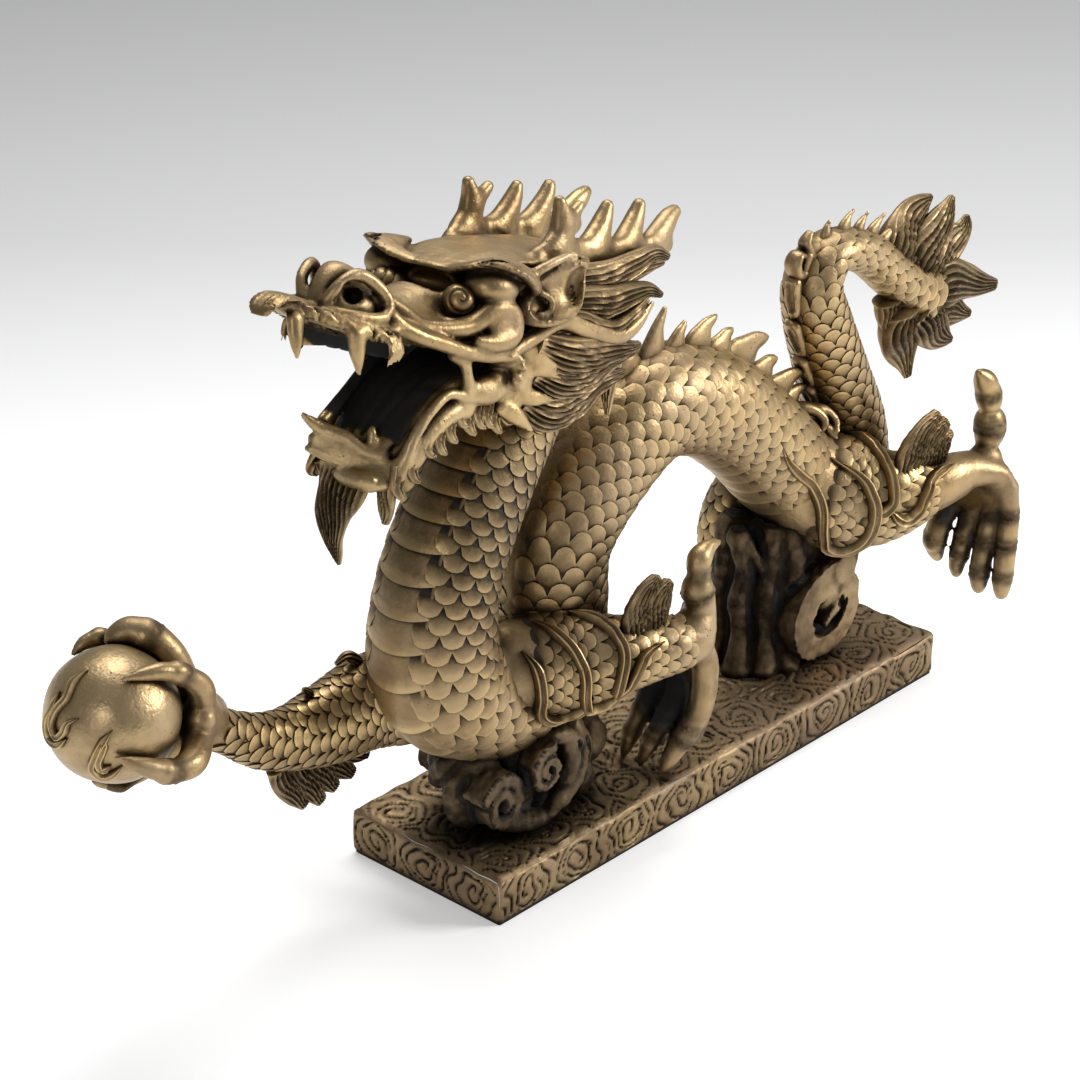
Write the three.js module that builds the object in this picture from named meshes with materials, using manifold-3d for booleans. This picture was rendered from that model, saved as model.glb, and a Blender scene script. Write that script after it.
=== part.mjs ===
// A brass dragon striding over its cloud-carved plinth, with a flaming pearl in its right claw.
// Millimetres, +Z up. The plinth's underside is at z = 0, centred on the origin.
// The head is at -X, the tail at +X, and the dragon's own left side is at -Y.
import * as THREE from 'three';
import { mergeVertices } from 'three/addons/utils/BufferGeometryUtils.js';
import Module from 'manifold-3d';

const wasm = await Module();
wasm.setup();
const { Manifold } = wasm;

// ---- driving dimensions -------------------------------------------------------------------

const PLINTH_LENGTH = 500;
const PLINTH_WIDTH = 0.3 * PLINTH_LENGTH;
const PLINTH_HEIGHT = 38;
const EDGE_WAVE = 2.5;              // how far the hand-cast edges wander
const GAP = 0.3;                    // clearance between touching castings

const BODY_SIDES = 10;
const BODY_STEPS = 42;
const LIMB_SIDES = 7;
const DIGIT_SIDES = 5;
const SMOOTHING = 1.6;              // how far small facets may be flattened into their neighbours

const PEARL_CENTRE = new THREE.Vector3(-484, 50, 224);
const PEARL_RADIUS = 45.7;
const PEARL_PAD = 9;                // the small dark pad the pearl sits on in the palm

// The body's centre line: [x, z, half width across Y, half depth in the XZ plane].
const BODY_ROUTE = [
  [-122, 380, 30, 30],
  [-188, 312, 38, 38],
  [-231, 238, 41, 42],
  [-230, 164, 45, 46],
  [-165, 124, 42, 41],
  [-121, 166, 40, 40],
  [-110, 237, 40, 40],
  [-28, 296, 38, 41],
  [37, 290, 39, 42],
  [94, 250, 41, 42],
  [140, 197, 42, 39],
  [178, 163, 42, 36],
  [212, 176, 37, 32],
  [214, 212, 33, 28],
  [198, 256, 29, 25],
  [179, 303, 26, 23],
  [171, 336, 23, 19],
  [190, 356, 20, 15],
  [230, 344, 18, 15],
  [275, 308, 17, 17],
  [318, 280, 15, 20],
];

// The head's own frame: origin at the back of the skull, pitched up, with its mouth wide open.
const HEAD_ORIGIN = new THREE.Vector3(-150, 0, 400);
const HEAD_PITCH = THREE.MathUtils.degToRad(20);
const HEAD_YAW = THREE.MathUtils.degToRad(6);
const HEAD_ROLL = THREE.MathUtils.degToRad(3);

// ---- solids from three.js geometry ------------------------------------------------------------

/** A closed three.js geometry as a solid. */
function solid(geometry) {
  const bare = geometry.clone();
  bare.deleteAttribute('normal');
  bare.deleteAttribute('uv');
  const merged = mergeVertices(bare, 1e-4);
  const vertProperties = new Float32Array(merged.attributes.position.array);
  const triVerts = new Uint32Array(merged.index.array);
  const body = new Manifold(new wasm.Mesh({ numProp: 3, vertProperties, triVerts }));
  return body.volume() < 0 ? flipped(vertProperties, triVerts) : body;
}

/** The same mesh with every triangle turned over. */
function flipped(vertProperties, triVerts) {
  const turned = triVerts.slice();
  for (let i = 0; i < turned.length; i += 3) {
    turned[i] = triVerts[i + 1];
    turned[i + 1] = triVerts[i];
  }
  return new Manifold(new wasm.Mesh({ numProp: 3, vertProperties, triVerts: turned }));
}

/**
 * A closed tube with an elliptical section along a smooth route.
 * Each row is [x, y, z, half width, half depth]; the width lies towards `across`.
 */
function sweep(rows, { sides = LIMB_SIDES, steps = 3 * rows.length, across = [0, 1, 0], grow = 0 } = {}) {
  const stations = rows.map((r) => new THREE.Vector3(r[0], r[1], r[2]));
  const path = new THREE.CatmullRomCurve3(stations, false, 'catmullrom');
  const widths = new THREE.SplineCurve(rows.map((r) => new THREE.Vector2(r[3], r[4] ?? r[3])));
  const reference = new THREE.Vector3(...across);
  const positions = [];
  const ring = (centre, tangent, half) => {
    const side = reference.clone().addScaledVector(tangent, -reference.dot(tangent)).normalize();
    const deep = new THREE.Vector3().crossVectors(tangent, side);
    for (let k = 0; k < sides; k += 1) {
      const angle = (2 * Math.PI * k) / sides;
      const point = centre.clone();
      point.addScaledVector(side, (half.x + grow) * Math.cos(angle));
      point.addScaledVector(deep, (half.y + grow) * Math.sin(angle));
      positions.push(point.x, point.y, point.z);
    }
  };
  for (let i = 0; i <= steps; i += 1) {
    ring(path.getPoint(i / steps), path.getTangent(i / steps), widths.getPoint(i / steps));
  }
  const index = [];
  for (let i = 0; i < steps; i += 1) {
    for (let k = 0; k < sides; k += 1) {
      const a = i * sides + k;
      const b = i * sides + ((k + 1) % sides);
      index.push(a, b, b + sides, a, b + sides, a + sides);
    }
  }
  for (const [end, turn] of [[0, -1], [1, 1]]) {
    const half = widths.getPoint(end);
    const dome = 0.45 * Math.min(half.x, half.y) + grow;
    const apex = path.getPoint(end).addScaledVector(path.getTangent(end), turn * dome);
    const apexIndex = positions.length / 3;
    positions.push(apex.x, apex.y, apex.z);
    const first = end * steps * sides;
    for (let k = 0; k < sides; k += 1) {
      const a = first + k;
      const b = first + ((k + 1) % sides);
      index.push(...(turn > 0 ? [a, b, apexIndex] : [b, a, apexIndex]));
    }
  }
  const geometry = new THREE.BufferGeometry();
  geometry.setAttribute('position', new THREE.Float32BufferAttribute(positions, 3));
  geometry.setIndex(index);
  return solid(geometry);
}

/** The rounded block that just wraps the given points. */
function wrap(points) {
  return Manifold.hull(points);
}

/** An ellipsoid of few facets. */
function ellipsoid(centre, radii, sides = 8) {
  const ball = new THREE.SphereGeometry(1, sides, Math.round(0.6 * sides));
  ball.scale(...radii);
  ball.translate(...centre);
  return solid(ball);
}

/** A lock of hair, spike, fang or claw: fat at `root`, bending through `middle` to a point at `tip`. */
function lock(root, middle, tip, width, depth, options = {}) {
  const rows = [
    [...root, width, depth],
    [...middle, 0.8 * width, 0.8 * depth],
    [...tip, 0.12 * width + 0.4, 0.12 * depth + 0.4],
  ];
  return sweep(rows, { sides: DIGIT_SIDES, steps: 2, ...options });
}

const join = (solids) => Manifold.union(solids);
const both = (make) => [make(1), make(-1)];

// ---- head: [forward, left, up] in its own frame ---------------------------------------------

/** The matrix that carries the head's own frame to the sculpture's. */
function headMatrix() {
  const forward = new THREE.Vector3(
    -Math.cos(HEAD_YAW) * Math.cos(HEAD_PITCH),
    -Math.sin(HEAD_YAW) * Math.cos(HEAD_PITCH),
    Math.sin(HEAD_PITCH),
  );
  const level = new THREE.Vector3(Math.sin(HEAD_YAW), -Math.cos(HEAD_YAW), 0);
  const rise = new THREE.Vector3().crossVectors(level, forward);
  if (rise.z < 0) {
    rise.negate();
  }
  const left = level.clone().multiplyScalar(Math.cos(HEAD_ROLL)).addScaledVector(rise, Math.sin(HEAD_ROLL));
  const up = rise.clone().multiplyScalar(Math.cos(HEAD_ROLL)).addScaledVector(level, -Math.sin(HEAD_ROLL));
  return new THREE.Matrix4().makeBasis(forward, left, up).setPosition(HEAD_ORIGIN);
}

/** Skull, brows, cheeks and snout, with nostrils and a hooked lip. */
function upperHead() {
  const skull = wrap([
    ...both((s) => [130, 28 * s, 46]),
    ...both((s) => [15, 40 * s, 60]),
    ...both((s) => [100, 50 * s, 24]),
    ...both((s) => [104, 44 * s, -24]),
    ...both((s) => [-38, 34 * s, 44]),
    ...both((s) => [-20, 30 * s, -30]),
    [20, 0, -52],
  ]);
  const snout = sweep([
    [80, 0, 6, 46, 30],
    [140, 0, 8, 38, 22],
    [190, 0, 12, 33, 15],
    [240, 0, 15, 24, 9],
    [274, 0, 18, 12, 7],
  ], { steps: 5 });
  const nose = ellipsoid([200, 0, 27], [30, 29, 17], 7);
  const lipCurl = ellipsoid([282, 2, 22], [11, 12, 7], 6);
  const square = { sides: 4 };
  const fangs = both((s) => lock([256, 17 * s, 14], [262, 18 * s, 2], [262, 17 * s, -12], 6, 5, square));
  const molars = both((s) => lock([210, 30 * s, 4], [213, 30 * s, -8], [210, 28 * s, -22], 6, 5, square));
  const brows = both((s) => lock([122, 28 * s, 46], [96, 48 * s, 54], [62, 58 * s, 62], 14, 9, square));
  const browTips = both((s) => lock([92, 42 * s, 50], [112, 46 * s, 48], [122, 46 * s, 52], 9, 7));
  const eyes = both((s) => ellipsoid([113, 33 * s, 27], [11, 11, 11], 6));
  const cheeks = both((s) => ellipsoid([96, 46 * s, 4], [26, 14, 16], 5));
  const whiskers = both((s) => lock([150, 36 * s, 6], [92, 56 * s, 4], [30, 68 * s, 26], 10, 8));
  const ears = both((s) => lock([66, 50 * s, 34], [52, 60 * s, 42], [30, 66 * s, 56], 15, 7));
  const nostrils = both((s) => ellipsoid([221, 15 * s, 31], [13, 9, 8], 6));
  const body = join([
    skull, snout, nose, lipCurl, ...fangs, ...molars, ...brows, ...browTips, ...eyes,
    ...cheeks, ...whiskers, ...ears,
  ]);
  return body.subtract(join(nostrils));
}

/** The scooped lower jaw, with its lip, tongue, fringe and beard. */
function lowerJaw() {
  const shell = wrap([
    ...both((s) => [180, 31 * s, -72]),
    ...both((s) => [172, 29 * s, -92]),
    ...both((s) => [140, 22 * s, -104]),
    ...both((s) => [112, 44 * s, -22]),
    ...both((s) => [66, 44 * s, -24]),
    ...both((s) => [40, 34 * s, -78]),
  ]);
  const scoop = wrap([
    ...both((s) => [194, 23 * s, -58]),
    ...both((s) => [174, 20 * s, -86]),
    ...both((s) => [118, 33 * s, 6]),
    ...both((s) => [58, 30 * s, -8]),
    ...both((s) => [62, 20 * s, -50]),
  ]);
  const tongue = sweep([[60, 0, -52, 15, 9], [110, 0, -66, 17, 8], [158, 0, -80, 12, 6]], { steps: 5 });
  const teeth = both((s) => lock([170, 24 * s, -86], [174, 24 * s, -76], [176, 23 * s, -64], 6, 5));
  const fringes = both((s) => lock([70, 40 * s, -50], [40, 50 * s, -62], [4, 56 * s, -56], 14, 9));
  const beard = lock([162, 6, -92], [172, 6, -118], [160, 4, -150], 24, 11);
  const tuft = lock([140, 20, -98], [146, 20, -112], [138, 18, -124], 10, 7);
  return join([shell.subtract(scoop), tongue, ...teeth, ...fringes, beard, tuft]);
}

/** Two ridges of upright rounded prongs running back over the skull. */
function horns() {
  const prongs = [[24, 0], [-18, -4], [-60, -8], [-96, -34]];
  const parts = [];
  for (const s of [1, -1]) {
    const ridge = [
      [50, 36 * s, 58, 13, 10],
      [-20, 38 * s, 60, 14, 12],
      [-92, 38 * s, 62, 9, 9],
    ];
    parts.push(sweep(ridge, { sides: 6, steps: 4 }));
    for (const [at, lean] of prongs) {
      parts.push(lock([at, 38 * s, 62], [at + 0.3 * lean, 38 * s, 82], [at + lean, 38 * s, 98], 12, 9));
    }
    parts.push(lock([30, 38 * s, 70], [36, 38 * s, 84], [40, 38 * s, 96], 8, 6));
  }
  return join(parts);
}

/** Combed locks of mane sweeping back from each cheek, with turned-up tips. */
function mane() {
  const locks = 5;
  const parts = [];
  for (let i = 0; i < locks; i += 1) {
    const t = i / (locks - 1);
    const high = 44 - 96 * t;
    const back = -84 + 76 * t * t;
    for (const s of [1, -1]) {
      const root = [30 + 14 * t, 40 * s, high];
      const middle = [-25 + 30 * t, (56 + 8 * Math.sin(Math.PI * t)) * s, high - 4];
      const tip = [back, (58 + 10 * Math.sin(Math.PI * t)) * s, high + 16];
      parts.push(lock(root, middle, tip, 17, 12, { across: [0, 0, 1], steps: 3 }));
    }
  }
  parts.push(ellipsoid([-10, 0, 10], [56, 46, 50], 6));
  return join(parts);
}

// ---- legs and claws --------------------------------------------------------------------------

/** One toe: knuckle, two joints and a claw. */
function toe(root, knuckle, tip, radius = 9) {
  const rows = [
    [...root, radius, radius],
    [...knuckle, 1.1 * radius, 1.1 * radius],
    [...knuckle.map((v, i) => 0.4 * v + 0.6 * tip[i]), 0.9 * radius, 0.9 * radius],
    [...tip, 1.2, 1.2],
  ];
  return sweep(rows, { sides: DIGIT_SIDES, steps: 4, across: [0, 1, 0.01] });
}

/** The upright thumb: three swollen joints and a blunt claw. */
function thumb(base, tip) {
  const joints = 3;
  const rows = [];
  for (let i = 0; i <= 2 * joints; i += 1) {
    const t = i / (2 * joints);
    const radius = (14 - 6 * t) * (i % 2 ? 1.15 : 0.9);
    rows.push([...base.map((v, k) => v + (tip[k] - v) * t), radius, radius]);
  }
  return sweep(rows, { sides: 6, steps: 6, across: [0, 1, 0] });
}

/** A flame-like tuft of hair standing off the back of a limb. */
function tuft(root, tip, width) {
  const middle = root.map((v, i) => 0.5 * (v + tip[i]));
  return lock(root, middle, tip, width, 0.45 * width, { across: [1, 0, 0] });
}

function leftForeleg() {
  const leg = sweep([
    [-172, -14, 160, 34, 34],
    [-139, -38, 156, 33, 36],
    [-108, -60, 156, 25, 28],
    [-80, -72, 155, 20, 22],
    [-52, -78, 154, 22, 19],
  ], { steps: 8 });
  const toes = [
    toe([-52, -86, 150], [-40, -91, 118], [-67, -66, PLINTH_HEIGHT + 3]),
    toe([-48, -76, 146], [-36, -72, 112], [-60, -50, PLINTH_HEIGHT + 3]),
    toe([-52, -64, 146], [-44, -54, 114], [-62, -32, PLINTH_HEIGHT + 3]),
  ];
  const upright = thumb([-46, -78, 160], [-36, -78, 219]);
  return join([leg, ...toes, upright, tuft([-100, -68, 172], [-88, -76, 215], 17)]);
}

function leftHindLeg() {
  const leg = sweep([
    [158, -14, 178, 36, 38],
    [190, -42, 167, 31, 42],
    [222, -62, 163, 23, 31],
    [262, -72, 165, 15, 17],
    [302, -75, 162, 20, 17],
  ], { steps: 8 });
  const toes = [
    toe([298, -90, 158], [304, -98, 136], [299, -100, 60]),
    toe([302, -80, 154], [310, -84, 130], [297, -80, 57]),
    toe([302, -68, 154], [310, -66, 128], [290, -61, 62]),
    toe([298, -56, 158], [306, -46, 132], [288, -42, 70]),
  ];
  const upright = thumb([300, -75, 168], [284, -75, 245]);
  return join([leg, ...toes, upright, tuft([228, -64, 178], [254, -70, 224], 16)]);
}

function rightHindLeg() {
  const leg = sweep([
    [166, 16, 174, 34, 34],
    [154, 42, 150, 27, 32],
    [142, 54, 118, 20, 22],
    [158, 58, 88, 14, 15],
    [146, 58, 62, 16, 14],
  ], { steps: 8 });
  const toes = [-1, 0, 1].map((k) => (
    toe([144, 58 + 11 * k, 62], [124, 58 + 12 * k, 58], [102, 56 + 12 * k, PLINTH_HEIGHT + 4], 8)
  ));
  return join([leg, ...toes, tuft([166, 62, 96], [192, 64, 116], 13)]);
}

/** The right foreleg reaches forward and its talons close round the pearl. */
function rightForeleg() {
  const leg = sweep([
    [-222, 18, 150, 34, 36],
    [-262, 44, 140, 29, 33],
    [-310, 50, 134, 23, 27],
    [-356, 50, 152, 17, 20],
    [-404, 50, 187, 15, 16],
    [-432, 50, 206, 26, 20],
  ], { steps: 8 });
  const parts = [leg, tuft([-318, 50, 120], [-298, 50, 73], 24), tuft([-284, 50, 160], [-268, 56, 176], 13)];
  const wrist = new THREE.Vector3(-404, 50, 188);
  const axis = PEARL_CENTRE.clone().sub(wrist).normalize();
  const level = new THREE.Vector3(0, 1, 0);
  const rise = new THREE.Vector3().crossVectors(axis, level).normalize();
  const talons = [[20, 118], [95, 112], [165, 108], [232, 112], [300, 118]];
  for (const [around, reach] of talons) {
    const bearing = THREE.MathUtils.degToRad(around);
    const out = level.clone().multiplyScalar(Math.sin(bearing)).addScaledVector(rise, -Math.cos(bearing));
    const rows = [];
    const joints = 5;
    for (let i = 0; i <= joints; i += 1) {
      const t = i / joints;
      const angle = THREE.MathUtils.degToRad(22 + (reach - 22) * t);
      const swell = 1 + 0.16 * Math.cos(2 * Math.PI * 2 * t);
      const radius = (14 - 11 * t * t) * swell;
      const point = PEARL_CENTRE.clone();
      point.addScaledVector(axis, -(PEARL_RADIUS + 0.55 * radius) * Math.cos(angle));
      point.addScaledVector(out, (PEARL_RADIUS + 0.55 * radius) * Math.sin(angle));
      rows.push([point.x, point.y, point.z, radius, radius]);
    }
    parts.push(sweep(rows, { sides: DIGIT_SIDES, steps: 5, across: [0.1, 1, 0.3] }));
  }
  return join(parts);
}

// ---- body, crest and tail ----------------------------------------------------------------------

const bodyRows = BODY_ROUTE.map(([x, z, across, deep]) => [x, 0, z, across, deep]);
const bodyPoints = bodyRows.map((r) => new THREE.Vector3(r[0], r[1], r[2]));
const bodyPath = new THREE.CatmullRomCurve3(bodyPoints, false, 'catmullrom');

/** The sinuous body, from the nape to the root of the tail fin. */
function bodyTube(grow = 0) {
  return sweep(bodyRows, { sides: BODY_SIDES, steps: BODY_STEPS, grow });
}

/** A spine standing off the back at one place along the body, leaning towards the tail. */
function spine(at, height, width, lean) {
  const centre = bodyPath.getPoint(at);
  const tangent = bodyPath.getTangent(at);
  const out = new THREE.Vector3(-tangent.z, 0, tangent.x);
  const row = Math.min(BODY_ROUTE.length - 1, Math.round(at * (BODY_ROUTE.length - 1)));
  const base = BODY_ROUTE[row][3] - 8;
  const root = centre.clone().addScaledVector(out, base);
  const middle = centre.clone().addScaledVector(out, base + 8 + 0.5 * height);
  middle.addScaledVector(tangent, 0.3 * lean);
  const tip = centre.clone().addScaledVector(out, base + 8 + height).addScaledVector(tangent, lean);
  const half = [0.35 * width, 0.5 * width];
  return lock(root.toArray(), middle.toArray(), tip.toArray(), ...half, { sides: 4, steps: 1 });
}

/** Spines along the back: tall over the arch, plates up the tail column and small ones on the tail. */
function crest() {
  const runs = [
    { from: 0.07, to: 0.12, count: 2, heights: [16], width: 14, lean: 8 },
    { from: 0.335, to: 0.505, count: 9, heights: [17, 11], width: 19, lean: 13 },
    { from: 0.68, to: 0.79, count: 7, heights: [9], width: 17, lean: 3 },
    { from: 0.81, to: 0.93, count: 6, heights: [11], width: 13, lean: 8 },
  ];
  const parts = [];
  for (const { from, to, count, heights, width, lean } of runs) {
    for (let i = 0; i < count; i += 1) {
      const at = from + ((to - from) * i) / (count - 1);
      parts.push(spine(at, heights[i % heights.length], width, lean));
    }
  }
  return join(parts);
}

/** The tail fin: pointed lobes fanned round the end of the tail, in the body's own plane. */
function tailFin() {
  const lobes = [
    { at: [280, 304], to: [312, 362], width: 16 },
    { at: [292, 300], to: [332, 356], width: 16 },
    { at: [302, 294], to: [363, 330], width: 16 },
    { at: [316, 280], to: [403, 263], width: 16 },
    { at: [312, 276], to: [370, 244], width: 15 },
    { at: [304, 272], to: [342, 229], width: 15 },
    { at: [290, 276], to: [294, 219], width: 17 },
  ];
  const centre = [300, 285];
  const parts = lobes.map(({ at, to, width }, i) => {
    const bow = i < 3 ? 1 : -1;
    const mid = [0.5 * (at[0] + to[0]) + 4 * bow, 0.5 * (at[1] + to[1]) + 6 * bow];
    const sway = 4 * Math.sin(1.9 * i);
    const middle = [mid[0], sway, mid[1]];
    return lock([at[0], 0, at[1]], middle, [to[0], 1.6 * sway, to[1]], 7, width, { steps: 3 });
  });
  parts.push(ellipsoid([centre[0] + 6, 0, centre[1]], [24, 13, 24]));
  return join(parts);
}

// ---- plinth and its cloud supports ----------------------------------------------------------------

/** The cast slab: a block whose edges wander a little, as hand-made wax does. */
function slab() {
  const outline = new THREE.Shape();
  const corners = [[-1, -1], [1, -1], [1, 1], [-1, 1]];
  const waves = [12, 4, 12, 4];
  corners.forEach(([cx, cy], side) => {
    const [nx, ny] = corners[(side + 1) % 4];
    const count = waves[side];
    for (let i = 0; i < count; i += 1) {
      const t = i / count;
      const x = 0.5 * PLINTH_LENGTH * (cx + (nx - cx) * t);
      const y = 0.5 * PLINTH_WIDTH * (cy + (ny - cy) * t);
      const inset = i % 2 === 0 ? 0 : EDGE_WAVE;
      const px = x - (cx === nx ? Math.sign(cx) * inset : 0);
      const py = y - (cy === ny ? Math.sign(cy) * inset : 0);
      if (side === 0 && i === 0) {
        outline.moveTo(px, py);
      } else {
        outline.lineTo(px, py);
      }
    }
  });
  outline.closePath();
  return solid(new THREE.ExtrudeGeometry(outline, { depth: PLINTH_HEIGHT, bevelEnabled: false }));
}

/** A flat cloud scroll: a spiral band of the given outer radius, lying in a plane that faces -Y. */
function scroll(centre, radius, depth, { turns = 1.2, start = 0, hand = 1 } = {}) {
  const rows = [];
  const steps = Math.round(8 * turns);
  for (let i = 0; i <= steps; i += 1) {
    const t = i / steps;
    const angle = start + hand * 2 * Math.PI * turns * t;
    const band = 0.2 * radius * (1 + 0.25 * Math.cos(Math.PI * t));
    const r = radius * (1 - 0.75 * t) - 0.25 * radius * (1 - t);
    const x = centre[0] + r * Math.cos(angle);
    const z = centre[2] + r * Math.sin(angle);
    rows.push([x, centre[1], z, 0.5 * depth, band]);
  }
  return sweep(rows, { sides: 4, steps });
}

/** Curling clouds piled under the chest. */
function frontClouds() {
  return join([
    sweep([
      [-160, -6, PLINTH_HEIGHT - 4, 44, 40],
      [-164, -8, 66, 36, 38],
      [-168, -8, 104, 34, 44],
    ], { steps: 4, across: [0, 1, 0] }),
    scroll([-196, -30, 72], 29, 32, { start: 1.2 }),
    scroll([-154, -38, 92], 22, 26, { start: 2.4, hand: -1 }),
    sweep([[-134, -42, 104, 9, 12], [-130, -46, 74, 10, 12], [-140, -42, 52, 7, 7]], { steps: 3, sides: 5 }),
    ellipsoid([-112, -32, 100], [16, 13, 18], 6),
    scroll([-190, 28, 78], 28, 32, { start: 1.2 }),
    scroll([-140, 30, 84], 27, 30, { start: 2, hand: -1 }),
  ]);
}

/** The rugged rear column, with a thick rolled scroll on its tail side. */
function rearClouds() {
  const rib = { steps: 3, sides: 5 };
  return join([
    sweep([
      [150, 6, PLINTH_HEIGHT - 4, 36, 44],
      [156, 6, 84, 26, 36],
      [162, 4, 142, 30, 38],
    ], { steps: 5, across: [0, 1, 0] }),
    scroll([164, -18, 74], 36, 30, { start: 1.3, hand: -1, turns: 1.25 }),
    sweep([[204, -12, 146, 15, 14], [194, -14, 122, 15, 14], [176, -18, 104, 15, 12]], rib),
    sweep([[112, -8, 150, 8, 9], [118, -16, 104, 9, 10], [108, -14, 36, 12, 12]], rib),
  ]);
}

// ---- the three castings ------------------------------------------------------------------------

/** A block that fills everything below a level, for trimming toes to the plinth's top. */
function below(level) {
  const block = new THREE.BoxGeometry(2 * PLINTH_LENGTH, 2 * PLINTH_LENGTH, 2 * level);
  return solid(block);
}

function pearlSolid(grow = 0) {
  const ball = new THREE.IcosahedronGeometry(PEARL_RADIUS + grow, 3);
  ball.translate(PEARL_CENTRE.x, PEARL_CENTRE.y, PEARL_CENTRE.z);
  const pad = new THREE.CylinderGeometry(17 + grow, 15 + grow, PEARL_PAD + 2 * grow, 6);
  pad.rotateX(Math.PI / 2);
  pad.translate(PEARL_CENTRE.x + 4, PEARL_CENTRE.y, PEARL_CENTRE.z - PEARL_RADIUS + 1);
  return solid(ball).add(solid(pad));
}

function dragonSolid() {
  const head = join([upperHead(), lowerJaw(), horns(), mane()]).transform(headMatrix().toArray());
  const whole = join([
    bodyTube(), head, crest(), tailFin(), leftForeleg(), rightForeleg(), leftHindLeg(), rightHindLeg(),
  ]);
  return whole.simplify(SMOOTHING).subtract(below(PLINTH_HEIGHT + GAP)).subtract(pearlSolid(GAP));
}

/** The plinth casting, hollowed where the dragon beds into its clouds. */
function plinthSolid(dragon) {
  const casting = join([slab(), frontClouds(), rearClouds()]).simplify(SMOOTHING);
  const seat = join([bodyTube(GAP), dragon.add(dragon.translate([0, 0, -GAP]))]);
  return casting.subtract(seat);
}

/** A solid as a named three.js mesh, keeping only its one main piece. */
function meshOf(name, body, material) {
  const pieces = body.simplify(0.3 * GAP).decompose();
  pieces.sort((a, b) => b.volume() - a.volume());
  const { vertProperties, triVerts } = pieces[0].getMesh();
  const geometry = new THREE.BufferGeometry();
  geometry.setAttribute('position', new THREE.Float32BufferAttribute(vertProperties, 3));
  geometry.setIndex(new THREE.Uint32BufferAttribute(triVerts, 1));
  geometry.computeVertexNormals();
  const mesh = new THREE.Mesh(geometry, material);
  mesh.name = name;
  return mesh;
}

const agedBrass = new THREE.MeshStandardMaterial({ color: 0xa98a4d, metalness: 1, roughness: 0.42 });
const darkBrass = new THREE.MeshStandardMaterial({ color: 0x8a6d3c, metalness: 1, roughness: 0.5 });
const polishedBrass = new THREE.MeshStandardMaterial({ color: 0xb5975a, metalness: 1, roughness: 0.33 });

const dragon = dragonSolid();
const sculpture = new THREE.Group();
sculpture.add(
  meshOf('dragon', dragon, agedBrass),
  meshOf('plinth', plinthSolid(dragon), darkBrass),
  meshOf('pearl', pearlSolid(), polishedBrass),
);

export default sculpture;
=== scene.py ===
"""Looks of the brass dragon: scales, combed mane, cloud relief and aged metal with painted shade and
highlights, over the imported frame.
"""
import math

import bpy
import numpy as np
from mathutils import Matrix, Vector


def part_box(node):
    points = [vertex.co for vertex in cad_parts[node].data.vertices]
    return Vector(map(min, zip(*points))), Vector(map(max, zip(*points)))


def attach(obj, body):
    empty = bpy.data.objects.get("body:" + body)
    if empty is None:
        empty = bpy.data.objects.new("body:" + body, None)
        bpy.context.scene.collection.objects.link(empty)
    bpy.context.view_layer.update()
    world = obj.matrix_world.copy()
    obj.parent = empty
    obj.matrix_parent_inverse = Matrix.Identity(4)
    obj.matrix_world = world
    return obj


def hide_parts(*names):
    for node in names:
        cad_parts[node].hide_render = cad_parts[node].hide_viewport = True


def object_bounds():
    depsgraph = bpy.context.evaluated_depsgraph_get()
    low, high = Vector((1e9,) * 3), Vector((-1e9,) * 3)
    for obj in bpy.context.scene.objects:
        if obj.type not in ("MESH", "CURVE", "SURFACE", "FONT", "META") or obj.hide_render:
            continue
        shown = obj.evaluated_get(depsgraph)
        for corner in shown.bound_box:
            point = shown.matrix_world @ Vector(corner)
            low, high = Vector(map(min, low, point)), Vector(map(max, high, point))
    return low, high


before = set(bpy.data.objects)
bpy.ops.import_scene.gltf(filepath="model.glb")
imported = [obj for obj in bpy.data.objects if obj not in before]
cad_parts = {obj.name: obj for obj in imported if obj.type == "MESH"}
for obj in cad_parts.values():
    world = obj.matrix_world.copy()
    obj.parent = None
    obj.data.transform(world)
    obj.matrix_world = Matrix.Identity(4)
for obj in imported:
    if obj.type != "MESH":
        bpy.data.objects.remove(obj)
cad_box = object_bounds()

# ---- scale of the model ---------------------------------------------------------------------
# Lengths below are the model's own millimetres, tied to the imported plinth's length.

PLINTH_LENGTH = 500.0
PLINTH_WIDTH = 150.0
PLINTH_HEIGHT = 38.0
PEARL_RADIUS = 45.7
plinth_low, plinth_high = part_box("plinth")
UNIT = (plinth_high[0] - plinth_low[0]) / PLINTH_LENGTH  # metres in one model millimetre

rng = np.random.default_rng(7)


def vec(*values):
    return np.array(values, float)


PEARL_CENTRE = vec(-484, 50, 224)
# The flames and the talons are laid out as the photo's camera sees the pearl. These are that camera's right, up
# and backward directions, fitted to the photo outside this script and rounded.
PEARL_RIGHT = vec(0.680, -0.733, 0)
PEARL_TOP = vec(0.337, 0.312, 0.888)
PEARL_NEAR = vec(-0.651, -0.604, 0.459)


def unit(v):
    v = np.asarray(v, float)
    return v / (np.linalg.norm(v, axis=-1, keepdims=True) + 1e-12)


def nearness(points, place, radii):
    """1 inside an ellipsoid round a place, falling to 0 outside it."""
    return np.exp(-((((points - np.array(place)) / np.array(radii)) ** 2).sum(-1)) ** 2)


def smoothstep(low, high, x):
    t = np.clip((x - low) / (high - low), 0.0, 1.0)
    return t * t * (3 - 2 * t)


WAVES = unit(rng.normal(size=(18, 3)))
PHASES = rng.uniform(0, 2 * math.pi, 18)


def wobble(x, y, z, size, offset=0):
    """Smooth wandering between about -1 and 1, for the unevenness of hand-worked wax."""
    total = 0.0
    for i in range(6):
        k = (i + offset) % 18
        a = WAVES[k] * (2 * math.pi / (size * (0.7 + 0.12 * i)))
        total = total + np.sin(a[0] * x + a[1] * y + a[2] * z + PHASES[k])
    return total / 3.2


# ---- curves -------------------------------------------------------------------------------------


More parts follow.
